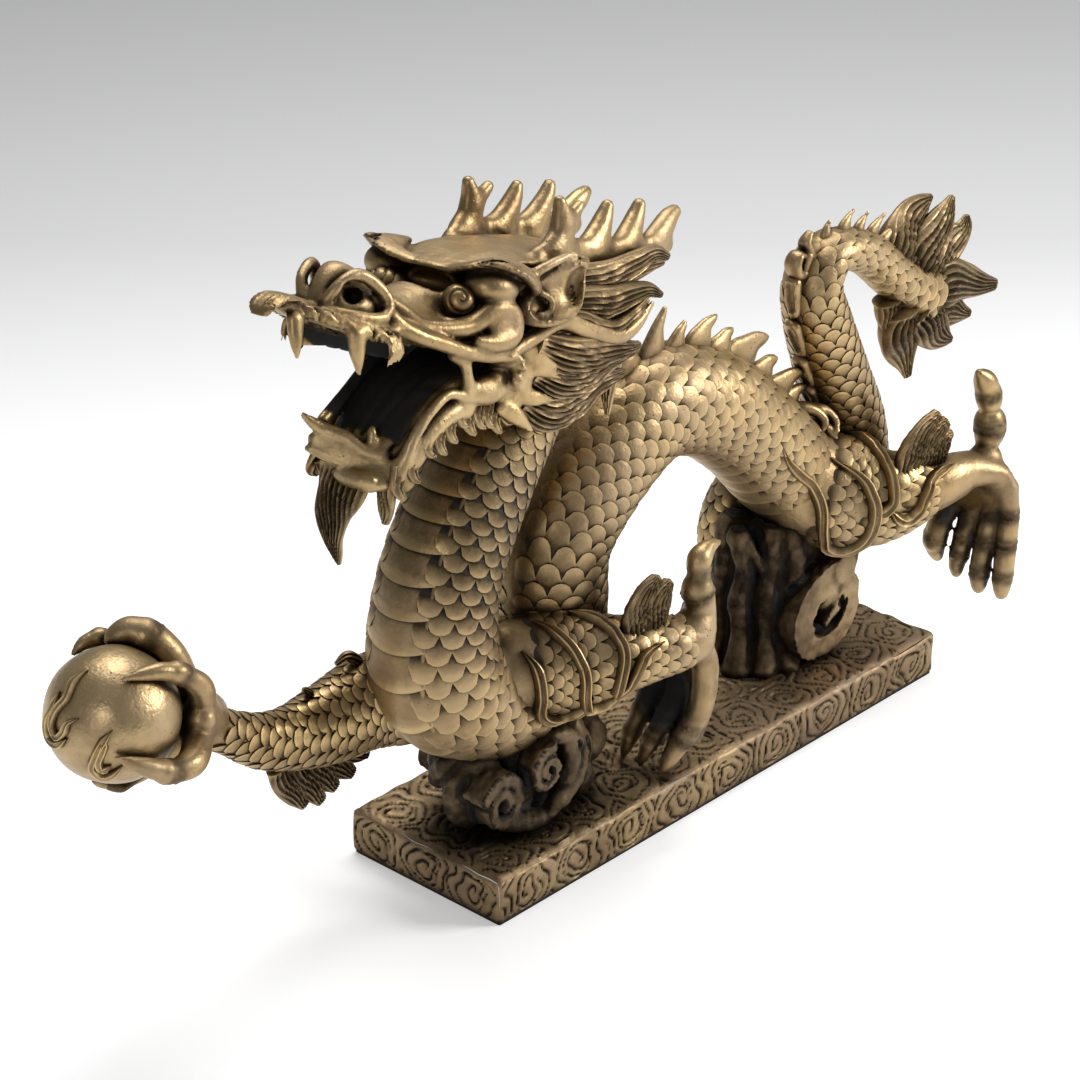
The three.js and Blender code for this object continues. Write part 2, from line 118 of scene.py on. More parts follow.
def spline(rows, samples):
    """A smooth curve through the rows, evenly spaced along its first three columns."""
    rows = np.array(rows, float)
    if len(rows) == 2:
        rows = np.vstack([rows[0], rows.mean(0), rows[1]])
    ends = np.vstack([2 * rows[0] - rows[1], rows, 2 * rows[-1] - rows[-2]])
    t = np.linspace(0, len(rows) - 1, 40 * len(rows))
    i = np.minimum(t.astype(int), len(rows) - 2)
    u = (t - i)[:, None]
    p0, p1, p2, p3 = ends[i], ends[i + 1], ends[i + 2], ends[i + 3]
    dense = 0.5 * (
        2 * p1 + (p2 - p0) * u + (2 * p0 - 5 * p1 + 4 * p2 - p3) * u**2 + (3 * p1 - p0 - 3 * p2 + p3) * u**3
    )
    run = np.concatenate([[0], np.cumsum(np.linalg.norm(np.diff(dense[:, :3], axis=0), axis=1))])
    even = np.linspace(0, run[-1], samples)
    return np.stack([np.interp(even, run, dense[:, k]) for k in range(dense.shape[1])], 1), even


def along(points):
    """The direction of a curve at each of its points."""
    return unit(np.gradient(points, axis=0))


def full(rows):
    """Rows of [x, y, z, half width, half depth]; a row without a depth is round."""
    return [tuple(r) + (r[3],) * (5 - len(r)) for r in rows]


# ---- meshes ---------------------------------------------------------------------------------------


# Places painted darker as shade, where the neck, body and limbs shade the casting: middle, reach, depth of
# colour.
# The last one is the head, painted lighter than the rest as painted light.
PAINTED_SHADE_AND_LIGHT_PLACES = (
    ((-206, -20, 262), (70, 70, 92), 0.78),
    ((-104, 0, 196), (44, 60, 70), 0.45),
    ((150, 0, 104), (90, 60, 60), 0.30),
    ((-176, 0, 62), (90, 44, 60), 0.40),
    ((-120, -20, 40), (150, 50, 22), 0.35),
    ((-60, -60, 100), (30, 26, 44), 0.25),
    ((296, -76, 130), (34, 40, 70), 0.22),
    ((-238, -25, 396), (110, 75, 52), -0.22),
)


SHARP_EDGE = math.radians(38)


class Mesh:
    """Vertices, quads and a value of patina and painted shade (below 0 rubbed bright as wear and painted
    highlight, 0 open, 1 deep patina and painted shade, 2 painted black as deep shade) from many surfaces.
    """

    def __init__(self):
        self.points, self.faces, self.cavity, self.count = [], [], [], 0

    def add(self, points, faces, cavity=0.0):
        points = np.asarray(points, float).reshape(-1, 3)
        self.points.append(points)
        self.faces.append(np.asarray(faces) + self.count)
        self.cavity.append(np.broadcast_to(np.asarray(cavity, float).reshape(-1), (len(points),)))
        self.count += len(points)

    def grid(self, points, cavity=0.0, wrap=False):
        """Adds an n by m grid of points, closed round its second direction if wrap is set."""
        n, m = points.shape[:2]
        index = np.arange(n * m).reshape(n, m)
        if wrap:
            index = np.concatenate([index, index[:, :1]], 1)
        quads = np.stack([index[:-1, :-1], index[:-1, 1:], index[1:, 1:], index[1:, :-1]], -1).reshape(-1, 4)
        cavity = np.broadcast_to(np.asarray(cavity, float), (n, m)) if np.ndim(cavity) else cavity
        self.add(points, quads, cavity)

    def piece(self, name, material, slot, stands_for):
        """Makes the object, with painted shade and painted light added by place, in place of the named node of
        the frame.
        """
        points = np.concatenate(self.points)
        cavity = np.concatenate(self.cavity)
        # Painted shade and painted light, added by place.
        for place, radii, amount in PAINTED_SHADE_AND_LIGHT_PLACES:
            cavity = cavity + amount * nearness(points, place, radii)
        points = points * UNIT
        mesh = bpy.data.meshes.new(name)
        quads = np.concatenate([f if f.shape[1] == 4 else np.hstack([f, f[:, 2:3]]) for f in self.faces])
        triangle = quads[:, 2] == quads[:, 3]
        sizes = np.where(triangle, 3, 4)
        corners = quads.reshape(-1)[np.stack([np.ones(len(quads), bool)] * 3 + [~triangle], 1).reshape(-1)]
        mesh.vertices.add(len(points))
        mesh.vertices.foreach_set("co", points.astype(np.float32).ravel())
        mesh.loops.add(len(corners))
        mesh.loops.foreach_set("vertex_index", corners.astype(np.int32))
        mesh.polygons.add(len(quads))
        starts = np.concatenate([[0], np.cumsum(sizes)[:-1]])
        mesh.polygons.foreach_set("loop_start", starts.astype(np.int32))
        mesh.polygons.foreach_set("use_smooth", np.ones(len(quads), bool))
        mesh.update(calc_edges=True)
        mesh.validate()
        mesh.set_sharp_from_angle(angle=SHARP_EDGE)
        # Stored for the material, which paints patina, painted shade and painted highlights from it.
        shade = mesh.attributes.new("cavity", "FLOAT", "POINT")
        shade.data.foreach_set("value", np.clip(cavity, -1, 2).astype(np.float32))
        mesh.materials.append(material)
        piece = bpy.data.objects.new(name, mesh)
        bpy.context.scene.collection.objects.link(piece)
        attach(piece, "root")
        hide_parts(stands_for)


# ---- soft-blended solids ------------------------------------------------------------------------------


class Field:
    """A grid of distances to a growing shape (negative inside), blended and carved like wax, then meshed."""

    FAR = 24.0

    def __init__(self, low, high, step):
        self.low, self.step = np.array(low, float), step
        self.size = np.ceil((np.array(high, float) - self.low) / step).astype(int) + 1
        self.value = np.full(self.size, self.FAR, np.float32)

    def region(self, low, high):
        """The grid's part between two corners: its slices and its coordinates."""
        first = np.clip(np.floor((np.array(low) - self.low) / self.step).astype(int), 0, self.size)
        last = np.clip(np.ceil((np.array(high) - self.low) / self.step).astype(int) + 1, 0, self.size)
        cut = tuple(slice(a, b) for a, b in zip(first, last))
        axes = [(self.low[k] + self.step * np.arange(first[k], last[k])).astype(np.float32) for k in range(3)]
        return cut, axes[0][:, None, None], axes[1][None, :, None], axes[2][None, None, :]

    def blend(self, cut, distance, soft):
        """Adds a shape, filling the angle where it meets the rest with a fillet about soft wide."""
        old = self.value[cut]
        if soft <= 0:
            self.value[cut] = np.minimum(old, distance)
            return
        h = np.clip(0.5 + 0.5 * (old - distance) / soft, 0, 1)
        self.value[cut] = old * (1 - h) + distance * h - soft * h * (1 - h)

    def carve(self, cut, distance, soft):
        """Takes a shape away, rounding the new edge."""
        old, other = self.value[cut], -distance
        h = np.clip(0.5 - 0.5 * (old - other) / soft, 0, 1)
        self.value[cut] = old * (1 - h) + other * h + soft * h * (1 - h)

    def ball(self, centre, radii, soft=4.0, carve=False, turn=None, mirror=False):
        """An ellipsoid; turn is three axes it is turned to; mirror makes its twin across y = 0 too."""
        radii = np.broadcast_to(np.array(radii, float), 3)
        pad = radii.max() + soft + 9
        for side in (1, -1) if mirror else (1,):
            middle = np.array(centre, float) * (1, side, 1)
            cut, x, y, z = self.region(middle - pad, middle + pad)
            d = [x - middle[0], (y - middle[1]) * side, z - middle[2]]
            if turn is not None:
                axes = unit(turn)
                d = [d[0] * axes[k][0] + d[1] * axes[k][1] + d[2] * axes[k][2] for k in range(3)]
            near = np.sqrt(sum((d[k] / radii[k]) ** 2 for k in range(3)))
            slope = np.sqrt(sum((d[k] / radii[k] ** 2) ** 2 for k in range(3))) + 1e-6
            distance = near * (near - 1) / slope
            (self.carve if carve else self.blend)(cut, distance.astype(np.float32), soft)

    def limb(self, rows, soft, carve=False, wide=(0, 1, 0), mirror=False, steps=None, flat=False):
        """A bent limb through rows of [x, y, z, half width, half depth]; the width lies towards wide.

        A flat limb has a square-cut face at each side of its width.
        """
        rows = np.array(full(rows), float)
        for side in (1, -1) if mirror else (1,):
            own = rows * (1, side, 1, 1, 1)
            line, _ = spline(own, steps or 4 * len(rows))
            pad = line[:, 3:].max() + soft + 9
            cut, x, y, z = self.region(line[:, :3].min(0) - pad, line[:, :3].max(0) + pad)
            total = np.full(self.value[cut].shape, self.FAR, np.float32)
            across = np.array(wide, float) * (1, side, 1)
            for a, b in zip(line[:-1], line[1:]):
                length = np.linalg.norm(b[:3] - a[:3])
                t = (b[:3] - a[:3]) / length
                w = unit(across - t * (across @ t))
                n = np.cross(t, w)
                reach = max(a[3:].max(), b[3:].max()) + 9 + soft
                lo, hi = np.minimum(a[:3], b[:3]) - reach, np.maximum(a[:3], b[:3]) + reach
                sub, sx, sy, sz = self.region(lo, hi)
                inner = tuple(
                    slice(max(s.start - c.start, 0), min(s.stop, c.stop) - c.start) for s, c in zip(sub, cut)
                )
                dx, dy, dz = sx - a[0], sy - a[1], sz - a[2]
                run = dx * t[0] + dy * t[1] + dz * t[2]
                over = run - np.clip(run, 0, length)
                part = np.clip(run / length, 0, 1)
                half_w, half_n = a[3] + (b[3] - a[3]) * part, a[4] + (b[4] - a[4]) * part
                u = (dx * w[0] + dy * w[1] + dz * w[2]) / half_w
                v = (dx * n[0] + dy * n[1] + dz * n[2]) / half_n
                small = np.minimum(half_w, half_n)
                near = np.sqrt(u * u + v * v + (over / small) ** 2)
                slope = np.sqrt((u / half_w) ** 2 + (v / half_n) ** 2 + (over / small**2) ** 2) + 1e-6
                distance = near * (near - 1) / slope
                if flat:
                    level = np.sqrt((v * half_n) ** 2 + over**2) - half_n
                    distance = np.maximum(level, np.abs(u) * half_w - half_w)
                total[inner] = np.minimum(total[inner], distance)
            (self.carve if carve else self.blend)(cut, total, soft)

    def sample(self, points):
        """The distance at each of many points."""
        where = (points - self.low) / self.step
        where = np.clip(where, 0, self.size - 1.001)
        i = where.astype(int)
        f = where - i
        total = 0.0
        for dx in (0, 1):
            for dy in (0, 1):
                for dz in (0, 1):
                    weight = (
                        (f[..., 0] if dx else 1 - f[..., 0])
                        * (f[..., 1] if dy else 1 - f[..., 1])
                        * (f[..., 2] if dz else 1 - f[..., 2])
                    )
                    total = total + weight * self.value[i[..., 0] + dx, i[..., 1] + dy, i[..., 2] + dz]
        return total

    def slope(self, points):
        """The outward direction at each point."""
        h = 0.7 * self.step
        steps = h * np.eye(3)
        return unit(np.stack([self.sample(points + e) - self.sample(points - e) for e in steps], -1))

    def surface(self):
        """Quads round the shape, one corner in each cell that its skin crosses, and how shut in each is."""
        d = self.value
        inside = d < 0
        cells = np.zeros(self.size - 1, np.int8)
        corners = [(i, j, k) for i in (0, 1) for j in (0, 1) for k in (0, 1)]
        n = self.size
        view = {c: tuple(slice(c[a], n[a] - 1 + c[a]) for a in range(3)) for c in corners}
        for c in corners:
            cells += inside[view[c]]
        mixed = (cells > 0) & (cells < 8)
        place = np.argwhere(mixed)
        index = np.full(cells.shape, -1, np.int64)
        index[mixed] = np.arange(len(place))
        at = {c: d[view[c]][mixed] for c in corners}
        total = np.zeros((len(place), 3))
        count = np.zeros(len(place))
        for axis in range(3):
            for c in corners:
                if c[axis]:
                    continue
                other = tuple(1 if a == axis else c[a] for a in range(3))
                crosses = (at[c] < 0) != (at[other] < 0)
                t = np.where(crosses, at[c] / np.where(crosses, at[c] - at[other], 1), 0)
                step = np.array(c, float) + np.eye(3)[axis] * t[:, None]
                total += np.where(crosses[:, None], step, 0)
                count += crosses
        points = self.low + (place + total / count[:, None]) * self.step
        quads = []
        for axis in range(3):
            u, v = (axis + 1) % 3, (axis + 2) % 3
            lower = [slice(None)] * 3
            upper = [slice(None)] * 3
            lower[axis], upper[axis] = slice(0, n[axis] - 1), slice(1, n[axis])
            first, second = inside[tuple(lower)], inside[tuple(upper)]
            edges = np.argwhere(first != second)
            keep = (edges[:, u] > 0) & (edges[:, v] > 0) & (edges[:, u] < n[u] - 1) & (edges[:, v] < n[v] - 1)
            edges = edges[keep]
            ring = []
            for du, dv in ((-1, -1), (0, -1), (0, 0), (-1, 0)):
                cell = edges.copy()
                cell[:, u] += du
                cell[:, v] += dv
                ring.append(index[cell[:, 0], cell[:, 1], cell[:, 2]])
            ring = np.stack(ring, 1)
            out = first[edges[:, 0], edges[:, 1], edges[:, 2]]
            quads.append(np.where(out[:, None], ring, ring[:, ::-1]))
        quads = np.concatenate(quads)
        normal = self.slope(points)
        shut = np.zeros(len(points))
        for reach in (2.5, 5.0, 8.0):
            shut += np.clip(1 - self.sample(points + normal * reach) / reach, 0, 1) / 3
        return points, quads, np.clip(1.5 * shut - 0.1, 0, 1)


def lock(mesh, rows, wide, grooves, depth, samples, around, wave):
    """A combed lock: a tapering limb through [x, y, z, half width, half thickness] with grooves along it."""
    line, run = spline(full(rows), samples)
    tangent = along(line[:, :3])
    side = unit(np.array(wide, float) - tangent * (tangent @ np.array(wide, float))[:, None])
    face = np.cross(tangent, side)
    angle = np.linspace(0, 2 * math.pi, around, endpoint=False)
    a, b = np.cos(angle)[None, :], np.sin(angle)[None, :]
    part = (run / run[-1])[:, None]
    drift = 0.25 * wave * np.sin(2.2 * math.pi * part)
    comb = 0.5 - 0.5 * np.cos(2 * math.pi * grooves * (0.5 + 0.5 * a + drift))
    comb = comb**0.7 * np.sqrt(np.abs(b)) * smoothstep(0.0, 0.08, part)
    thin = 1 - depth * comb * 2.2
    points = (
        line[:, None, :3]
        + side[:, None] * (line[:, 3:4] * a)[..., None]
        + face[:, None] * (line[:, 4:5] * b * thin)[..., None]
    )
    mesh.grid(points, np.clip(comb * 0.95, 0, 1) + 0.15 * (1 - part), wrap=True)
    for end in (0, -1):
        centre = line[end, :3] + (1 if end else -1) * tangent[end] * 0.5 * line[end, 3:].min()
        ring = points[end]
        fan = [[k, (k + 1) % around, around] if end else [(k + 1) % around, k, around] for k in range(around)]
        mesh.add(np.vstack([ring, centre]), np.array([f + [f[2]] for f in fan]), 0.2)


# ---- body: smooth core, belly plates, round scales -----------------------------------------------

# [along X, up Z, half width, half depth] of the body's centre line, as in the solid model.
BODY_ROUTE = [
    (-122, 380, 30, 30), (-188, 312, 38, 38), (-231, 238, 41, 42), (-230, 164, 45, 46),
    (-165, 124, 42, 41), (-121, 166, 40, 40), (-110, 237, 40, 40), (-28, 296, 38, 41),
    (36, 288, 39, 40), (92, 247, 40, 39), (140, 197, 42, 39), (178, 163, 42, 36),
    (212, 176, 37, 32), (214, 212, 33, 28), (198, 256, 29, 25), (179, 303, 26, 23),
    (171, 336, 23, 19), (190, 356, 20, 15), (230, 344, 18, 15), (275, 308, 17, 17), (318, 280, 15, 20),
]
BODY_SAMPLES = 900
BELLY_HALF_ANGLE = math.radians(37)
CREST_HALF_ANGLE = math.radians(15)

body_line, body_run = spline([(x, 0, z, w, d) for x, z, w, d in BODY_ROUTE], BODY_SAMPLES)
BODY_LENGTH = body_run[-1]
body_tangent = along(body_line[:, :3])
body_dorsal = np.stack([-body_tangent[:, 2], 0 * body_run, body_tangent[:, 0]], 1)
BODY_LEFT = vec(0, -1, 0)


def body_at(run, angle, lift):
    """A point on the body: run along it, angle from the crest towards the dragon's left, lift off the skin."""
    run, angle, lift = np.broadcast_arrays(run, angle, lift)
    columns = [np.interp(run, body_run, body_line[:, k]) for k in range(5)]
    centre = np.stack(columns[:3], -1)
    up = unit(np.stack([np.interp(run, body_run, body_dorsal[:, k]) for k in range(3)], -1))
    width, depth = columns[3], columns[4]
    cosine, sine = np.cos(angle), np.sin(angle)
    skin = centre + up * (depth * cosine)[..., None] + BODY_LEFT * (width * sine)[..., None]
    normal = unit(up * (width * cosine)[..., None] + BODY_LEFT * (depth * sine)[..., None])
    return skin + normal * lift[..., None]


def scale_patch(place, run, angle, width, length, span, mesh):
    """One overlapping scale: a shallow dome with a round free edge, its root sunk under its neighbours."""
    a = np.linspace(-1, 1, 7)
    b = np.linspace(0, 1, 5) ** 0.8
    reach = length - 0.5 * width + 0.5 * width * np.sqrt(np.maximum(0.0, 1 - a**2)) * 0.96
    t = b[:, None] * reach[None, :]
    rise = -0.7 + 1.9 * smoothstep(0.0, 0.9 * length, t)
    dome = 0.075 * width * (1 - a[None, :] ** 2) * np.sin(np.pi * np.clip(t / length, 0, 1) ** 1.3)
    lip = 0.5 * smoothstep(0.78, 0.97, b)[:, None] * (1 - 0.5 * np.abs(a[None, :]) ** 4)
    lift = (rise + dome) * width / 15.0 + lip
    # Root and sides take patina where they sink under their neighbours; the free edge is painted lighter as
    # rubbed wear and painted highlight.
    dark = np.maximum(np.abs(a[None, :]) ** 6 * 0.5, 0.95 * (1 - smoothstep(0.32, 0.68, t / length)))
    dark = dark - 0.6 * smoothstep(0.74, 0.95, b)[:, None]
    # The last row and both outer columns are repeated lower down, as the scale's thickness.
    lift = np.pad(np.pad(lift, ((0, 1), (0, 0))), ((0, 0), (1, 1)))
    lift[-1], lift[:, 0], lift[:, -1] = -0.9 * width / 15.0, -0.9 * width / 15.0, -0.9 * width / 15.0
    dark = np.pad(np.pad(dark, ((0, 1), (0, 0)), constant_values=0.95), ((0, 0),
    (1, 1)), constant_values=0.95)
    run_grid = run + np.pad(t, ((0, 1), (1, 1)), mode="edge")
    angle_grid = angle + 0.5 * span * np.broadcast_to(np.pad(a, 1, mode="edge"), run_grid.shape)
    mesh.grid(place(run_grid, angle_grid, lift), dark)


MIN_SCALE = 15.5


def body_scales():
    """Staggered rows of round scales down both flanks, smaller towards the tail, free edges tailwards."""
    mesh = Mesh()
    run, row = 6.0, 0
    while run < BODY_LENGTH - 14:
        radius = np.interp(run, body_run, body_line[:, 3])
        span = math.radians(24.5)
        width = max(span * radius, MIN_SCALE)
        flank = math.pi - BELLY_HALF_ANGLE - CREST_HALF_ANGLE
        count = int(round(flank * radius / width))
        for side in (1, -1):
            for k in range(count + (row % 2)):
                angle = CREST_HALF_ANGLE + (k + (0.0 if row % 2 else 0.5)) * flank / count
                jitter = rng.normal(0, 0.25, 2)
                scale_patch(
                    body_at, run + jitter[0], side * angle, width, 1.28 * width * (1 + 0.05 * jitter[1]),
                    1.03 * flank / count, mesh,
                )
        run += 0.53 * width
        row += 1
    return mesh


def body_core():
    """The skin under the scales, with the smooth band that carries the crest."""
    mesh = Mesh()
    run = np.linspace(0, BODY_LENGTH, 260)
    angle = np.linspace(0, 2 * math.pi, 56, endpoint=False)
    run_grid, angle_grid = np.meshgrid(run, angle, indexing="ij")
    folded = np.abs((angle_grid + math.pi) % (2 * math.pi) - math.pi)
    band = 1.6 * (1 - smoothstep(0.7 * CREST_HALF_ANGLE, 1.15 * CREST_HALF_ANGLE, folded))
    points = body_at(run_grid, angle_grid, band - 0.25)
    mesh.grid(points, 0.75 - 0.6 * band / 1.6, wrap=True)
    return mesh


def belly_plates():
    """Broad overlapping plates down the underside, with a raised seam where they meet the scales."""
    mesh = Mesh()
    a = np.linspace(-1, 1, 19)
    run = 4.0
    while run < BODY_LENGTH - 16:
        depth = np.interp(run, body_run, body_line[:, 4])
        pitch = 0.46 * depth
        b = np.linspace(0, 1, 9)
        sag = 0.22 * pitch * (1 - a**2)
        run_grid = run + b[:, None] * (1.16 * pitch) + (b[:, None] ** 2) * sag[None, :]
        angle_grid = math.pi + BELLY_HALF_ANGLE * 1.04 * np.broadcast_to(a, (9, 19))
        rise = -0.6 + 1.5 * smoothstep(0, 0.9, b)
        lift = rise[:, None] + 0.7 * np.sin(np.pi * b)[:, None] * (1 - a**4)[None, :]
        lip = 1.0 * smoothstep(0.8, 1.0, b)[:, None] * np.ones((1, 19))
        points = body_at(run_grid, angle_grid, lift + lip)
        skirt = body_at(run_grid[-1:], angle_grid[-1:], np.full((1, 19), -0.9))
        # The plates take patina towards their roots; their lips are painted lighter as rubbed wear and painted
        # highlight.
        dark = 0.12 + 0.8 * (1 - smoothstep(0.1, 0.4, b)) - 0.9 * smoothstep(0.8, 0.97, b)
        dark = np.broadcast_to(dark[:, None], (9, 19))
        mesh.grid(np.concatenate([points, skirt]), np.concatenate([dark, np.full((1, 19), 0.95)]))
        run += pitch
    for side in (1, -1):
        line = np.linspace(0, BODY_LENGTH, 360)
        wander = 0.02 * np.sin(line / 17.0)
        around = np.linspace(-1, 1, 9)
        angle_grid = side * (math.pi - BELLY_HALF_ANGLE + wander[:, None] + 0.055 * around[None, :])
        lift = -0.6 + 2.3 * np.sqrt(np.maximum(0, 1 - around**2))
        mesh.grid(body_at(line[:, None] + 0 * around, angle_grid, np.broadcast_to(lift, (360, 9))), 0.15)
    return mesh


# ---- head ---------------------------------------------------------------------------------------------
# Built in its own frame: [forward, towards the dragon's left, up], from the back of the skull.

HEAD_ORIGIN = vec(-150, 0, 400)
HEAD_PITCH, HEAD_YAW, HEAD_ROLL = math.radians(20), math.radians(6), math.radians(3)
_heading = vec(-math.cos(HEAD_YAW), -math.sin(HEAD_YAW), 0)
_forward = math.cos(HEAD_PITCH) * _heading + math.sin(HEAD_PITCH) * vec(0, 0, 1)
_level = vec(math.sin(HEAD_YAW), -math.cos(HEAD_YAW), 0)
_over = np.cross(_forward, _level)
_over = _over * np.sign(_over[2])
HEAD_LEFT = _level * math.cos(HEAD_ROLL) + _over * math.sin(HEAD_ROLL)
HEAD_UP = -_level * math.sin(HEAD_ROLL) + _over * math.cos(HEAD_ROLL)
HEAD_AXES = np.stack([_forward, HEAD_LEFT, HEAD_UP])


def to_world(points):
    """The model's own places of points given in the head's frame."""
    return HEAD_ORIGIN + np.asarray(points, float) @ HEAD_AXES


def head_field():
    """Skull, open jaws, nose, brows, horns, ears and cheek bands, blended as they were in the wax."""
    wax = Field((-122, -82, -112), (300, 82, 106), 1.88)
    # Skull, running back into the neck.
    wax.ball((34, 0, 22), (72, 46, 34))
    wax.ball((-8, 0, 12), (48, 42, 44), 10)
    wax.limb([(40, 0, 0, 40, 32), (4, 0, -16, 36, 30), (-20, 0, -34, 32, 28)], 10)
    # Upper jaw: a broad flat beak, narrowing to the curled tip.
    wax.limb([(60, 0, 8, 46, 20), (110, 0, 7, 44, 15), (150, 0, 8, 41, 12), (190, 0, 9, 38, 9),
              (222, 0, 11, 33, 7.5), (242, 0, 14, 22, 6), (258, 0, 17, 12, 5), (268, 0, 19, 10, 4)], 6)
    wax.limb([(196, 0, 14, 20, 14), (160, 0, 14, 22, 14), (130, 0, 20, 22, 16), (96, 0, 32, 30, 18)], 8)
    wax.limb([(246, 0, 20, 10, 3), (260, 0, 23, 12, 3), (271, 0, 23.5, 12.5, 3), (281, 0, 19, 11.5, 2.8),
              (285, 0, 13, 8, 2.2)], 1.5)
    # Nose: a pointed arch over two deep nostrils, with the septum in front.
    wax.ball((204, 0, 20), (27, 25, 16), 6)
    wax.limb([(230, 0, 18, 7, 5), (226, 0, 32, 8, 5), (216, 0, 42, 9, 5), (200, 0, 38, 13, 5),
              (180, 0, 29, 18, 5)], 4)
    wax.limb([(232, 9, 22, 4), (228, 15, 34, 4), (216, 19, 42, 4.2), (202, 25, 36, 4.4), (193, 30, 26, 4),
              (198, 32, 17, 3.4)], 2, mirror=True)
    wax.limb([(232, 12, 18, 4), (224, 24, 17, 4), (210, 31, 16, 4), (200, 32, 17, 4)], 2.5, mirror=True)
    wax.limb([(228, 27, 33, 7.5), (218, 19, 30, 7), (206, 11, 26, 5)], 1.5, carve=True, mirror=True)
    # Forehead plate: a thin peak over an orange hollow, dished on top.
    wax.limb([(114, 0, 46, 21, 2.6), (98, 0, 51, 32, 4), (74, 0, 55, 38, 7), (36, 0, 56, 42, 10),
              (0, 0, 54, 40, 14)], 4)
    wax.ball((80, 0, 120), (66, 48, 62), 4, carve=True)
    wax.ball((116, 0, 35), (16, 20, 8.5), 5, carve=True)
    # Brows: heavy wings curling over the eyes, hollow beneath.
    wax.limb([(112, 18, 47, 5, 2.4), (116, 32, 52, 10, 2.8), (106, 45, 56, 15, 3.4), (88, 54, 53, 15, 4),
              (74, 57, 45, 9, 4), (68, 55, 36, 4, 3)], 3.5, wide=(1, 0.6, 0), mirror=True)
    wax.ball((100, 42, 41), (20, 17, 13), 5, mirror=True)
    # Eyes bulging forward between their lids.
    wax.ball((114, 28, 27), (12, 12, 12), 3, mirror=True)
    wax.limb([(120, 14, 20, 3), (130, 27, 15, 3), (124, 41, 17, 3.2), (110, 45, 24, 3.2), (100, 44, 32, 3)],
              2.5, mirror=True)
    # Cheeks: two S-shaped bands under the eye, the lower one running back as the whisker ridge.
    wax.limb([(196, 22, 29, 4.5), (184, 32, 14, 5), (170, 40, 7, 5.2), (150, 45, 3, 5.2), (124, 49, -2, 5),
              (92, 52, -3, 5), (66, 55, 8, 5.5), (42, 60, 22, 6.5, 5), (14, 63, 17, 6.5, 4),
              (-22, 65, 12, 6, 4), (-42, 66, 20, 5, 3.4), (-58, 66, 36, 2, 1.6)], 3, wide=(0, 0, 1),
              mirror=True)
    wax.limb([(182, 12, 29, 4), (168, 22, 20, 5), (158, 32, 12, 5.5), (142, 40, 11, 6), (122, 46, 15, 6.5),
              (106, 51, 27, 7.5), (92, 53, 25, 8), (90, 55, 12, 8.5), (104, 55, 6, 7), (120, 52, 6, 4)], 2.6,
              wide=(0, 0, 1), mirror=True)
    wax.ball((98, 54, 15), (14, 6, 12), 3, mirror=True)
    # Moustache: short wavy strokes combed over the lip, and a longer tuft at its end.
    for k in range(15):
        part = k / 14
        f, l, u = 256 - 56 * part, 14 + 27 * part**0.8, 16 - 12 * part
        bend = 2.0 * math.sin(2.1 * k)
        wax.limb([(f + 1, l - 5, u + 6, 1.2), (f - 1 + bend, l - 1, u + 3, 1.9),
                  (f - 2, l + 0.5, u - 1, 1.8), (f - 4, l - 0.5, u - 4.5, 0.9)], 1.0, mirror=True)
    for k in range(4):
        wax.limb([(202 - 3.4 * k, 41, 6, 1.6), (201 - 3.4 * k, 44, -3, 2.0),
                  (203 - 3.2 * k, 43, -13 + k, 0.9)], 0.9, mirror=True)
    # Ribbed palate and fangs.
    wax.limb([(90, 0, -14, 30, 6), (150, 0, -8, 28, 6), (215, 0, 1, 20, 6), (250, 0, 8, 9, 4)], 3,
              carve=True)
    for k in range(8):
        f = 108 + 16 * k
        wax.limb([(f, -30 + 2.2 * k, -5 + k, 1.6), (f + 7, 0, -4 + 1.6 * k, 1.6),
                  (f, 30 - 2.2 * k, -5 + k, 1.6)], 1.5)
    wax.limb([(262, 11, 12, 7, 5), (262, 13, 3, 5.5, 4.5), (261, 14.5, -5, 3.6, 3.4), (259, 15, -12, 1.4)],
              2.5, wide=(1, 0, 0))
    wax.limb([(222, 30, 6, 8, 6), (220, 31, -5, 5.5, 5), (216, 30.5, -13, 3.4, 3.2), (213, 30, -20, 1.3)],
              2.5, wide=(1, 0, 0))
    wax.limb([(206, -27, 6, 8, 6), (205, -27, -5, 5, 5), (203, -26, -13, 1.6)], 2.5, wide=(1, 0, 0))
    # Corner of the mouth: a pillar-like tooth with a round gap behind it.
    wax.limb([(134, 44, -2, 7, 4), (122, 45, -9, 5, 4), (117, 45.5, -18, 4, 3.6), (112, 45, -27, 7, 4)], 2.5,
              wide=(1, 0, 0), mirror=True)
    # Lower jaw: a deep trough dropping steeply to a shovel lip.
    wax.limb([(70, 2, -18, 43, 18), (100, 4, -34, 42, 15), (122, 4, -45, 40, 13), (140, 4, -59, 37, 12),
              (152, 4, -76, 34, 12), (160, 3, -90, 29, 10), (168, 0, -92, 24, 8)], 5)
    wax.limb([(108, 39, -42, 8), (124, 37, -46, 8), (137, 35, -60, 8), (147, 33, -76, 8), (157, 28, -90, 7)],
              5)
    wax.limb([(104, -32, -22, 5), (124, -28, -27, 5), (148, -26, -46, 5), (170, -23, -66, 5),
              (178, -20, -76, 5)], 4)
    wax.limb([(92, 5, -12, 31, 17), (122, 5, -28, 30, 15), (148, 5, -45, 28, 15), (162, 3, -66, 25, 13),
              (170, 0, -78, 19, 8)], 3, carve=True)
    wax.limb([(92, 46, -30, 6, 5), (112, 44, -33, 5, 4), (130, 42, -31, 4, 3.6), (146, 40, -45, 4, 3.6),
              (154, 37, -62, 4.4, 4), (156, 33, -80, 5, 4.2), (157, 25, -93, 5, 4), (164, 14, -90, 5, 4),
              (172, 2, -85, 4.6, 4), (180, -10, -82, 4, 3.6), (187, -20, -79, 2.6)], 2.5)
    wax.limb([(130, 38, -26, 1.8), (147, 36, -40, 1.8), (156, 33, -60, 1.8), (159, 27, -76, 1.8)], 1.5,
              carve=True)
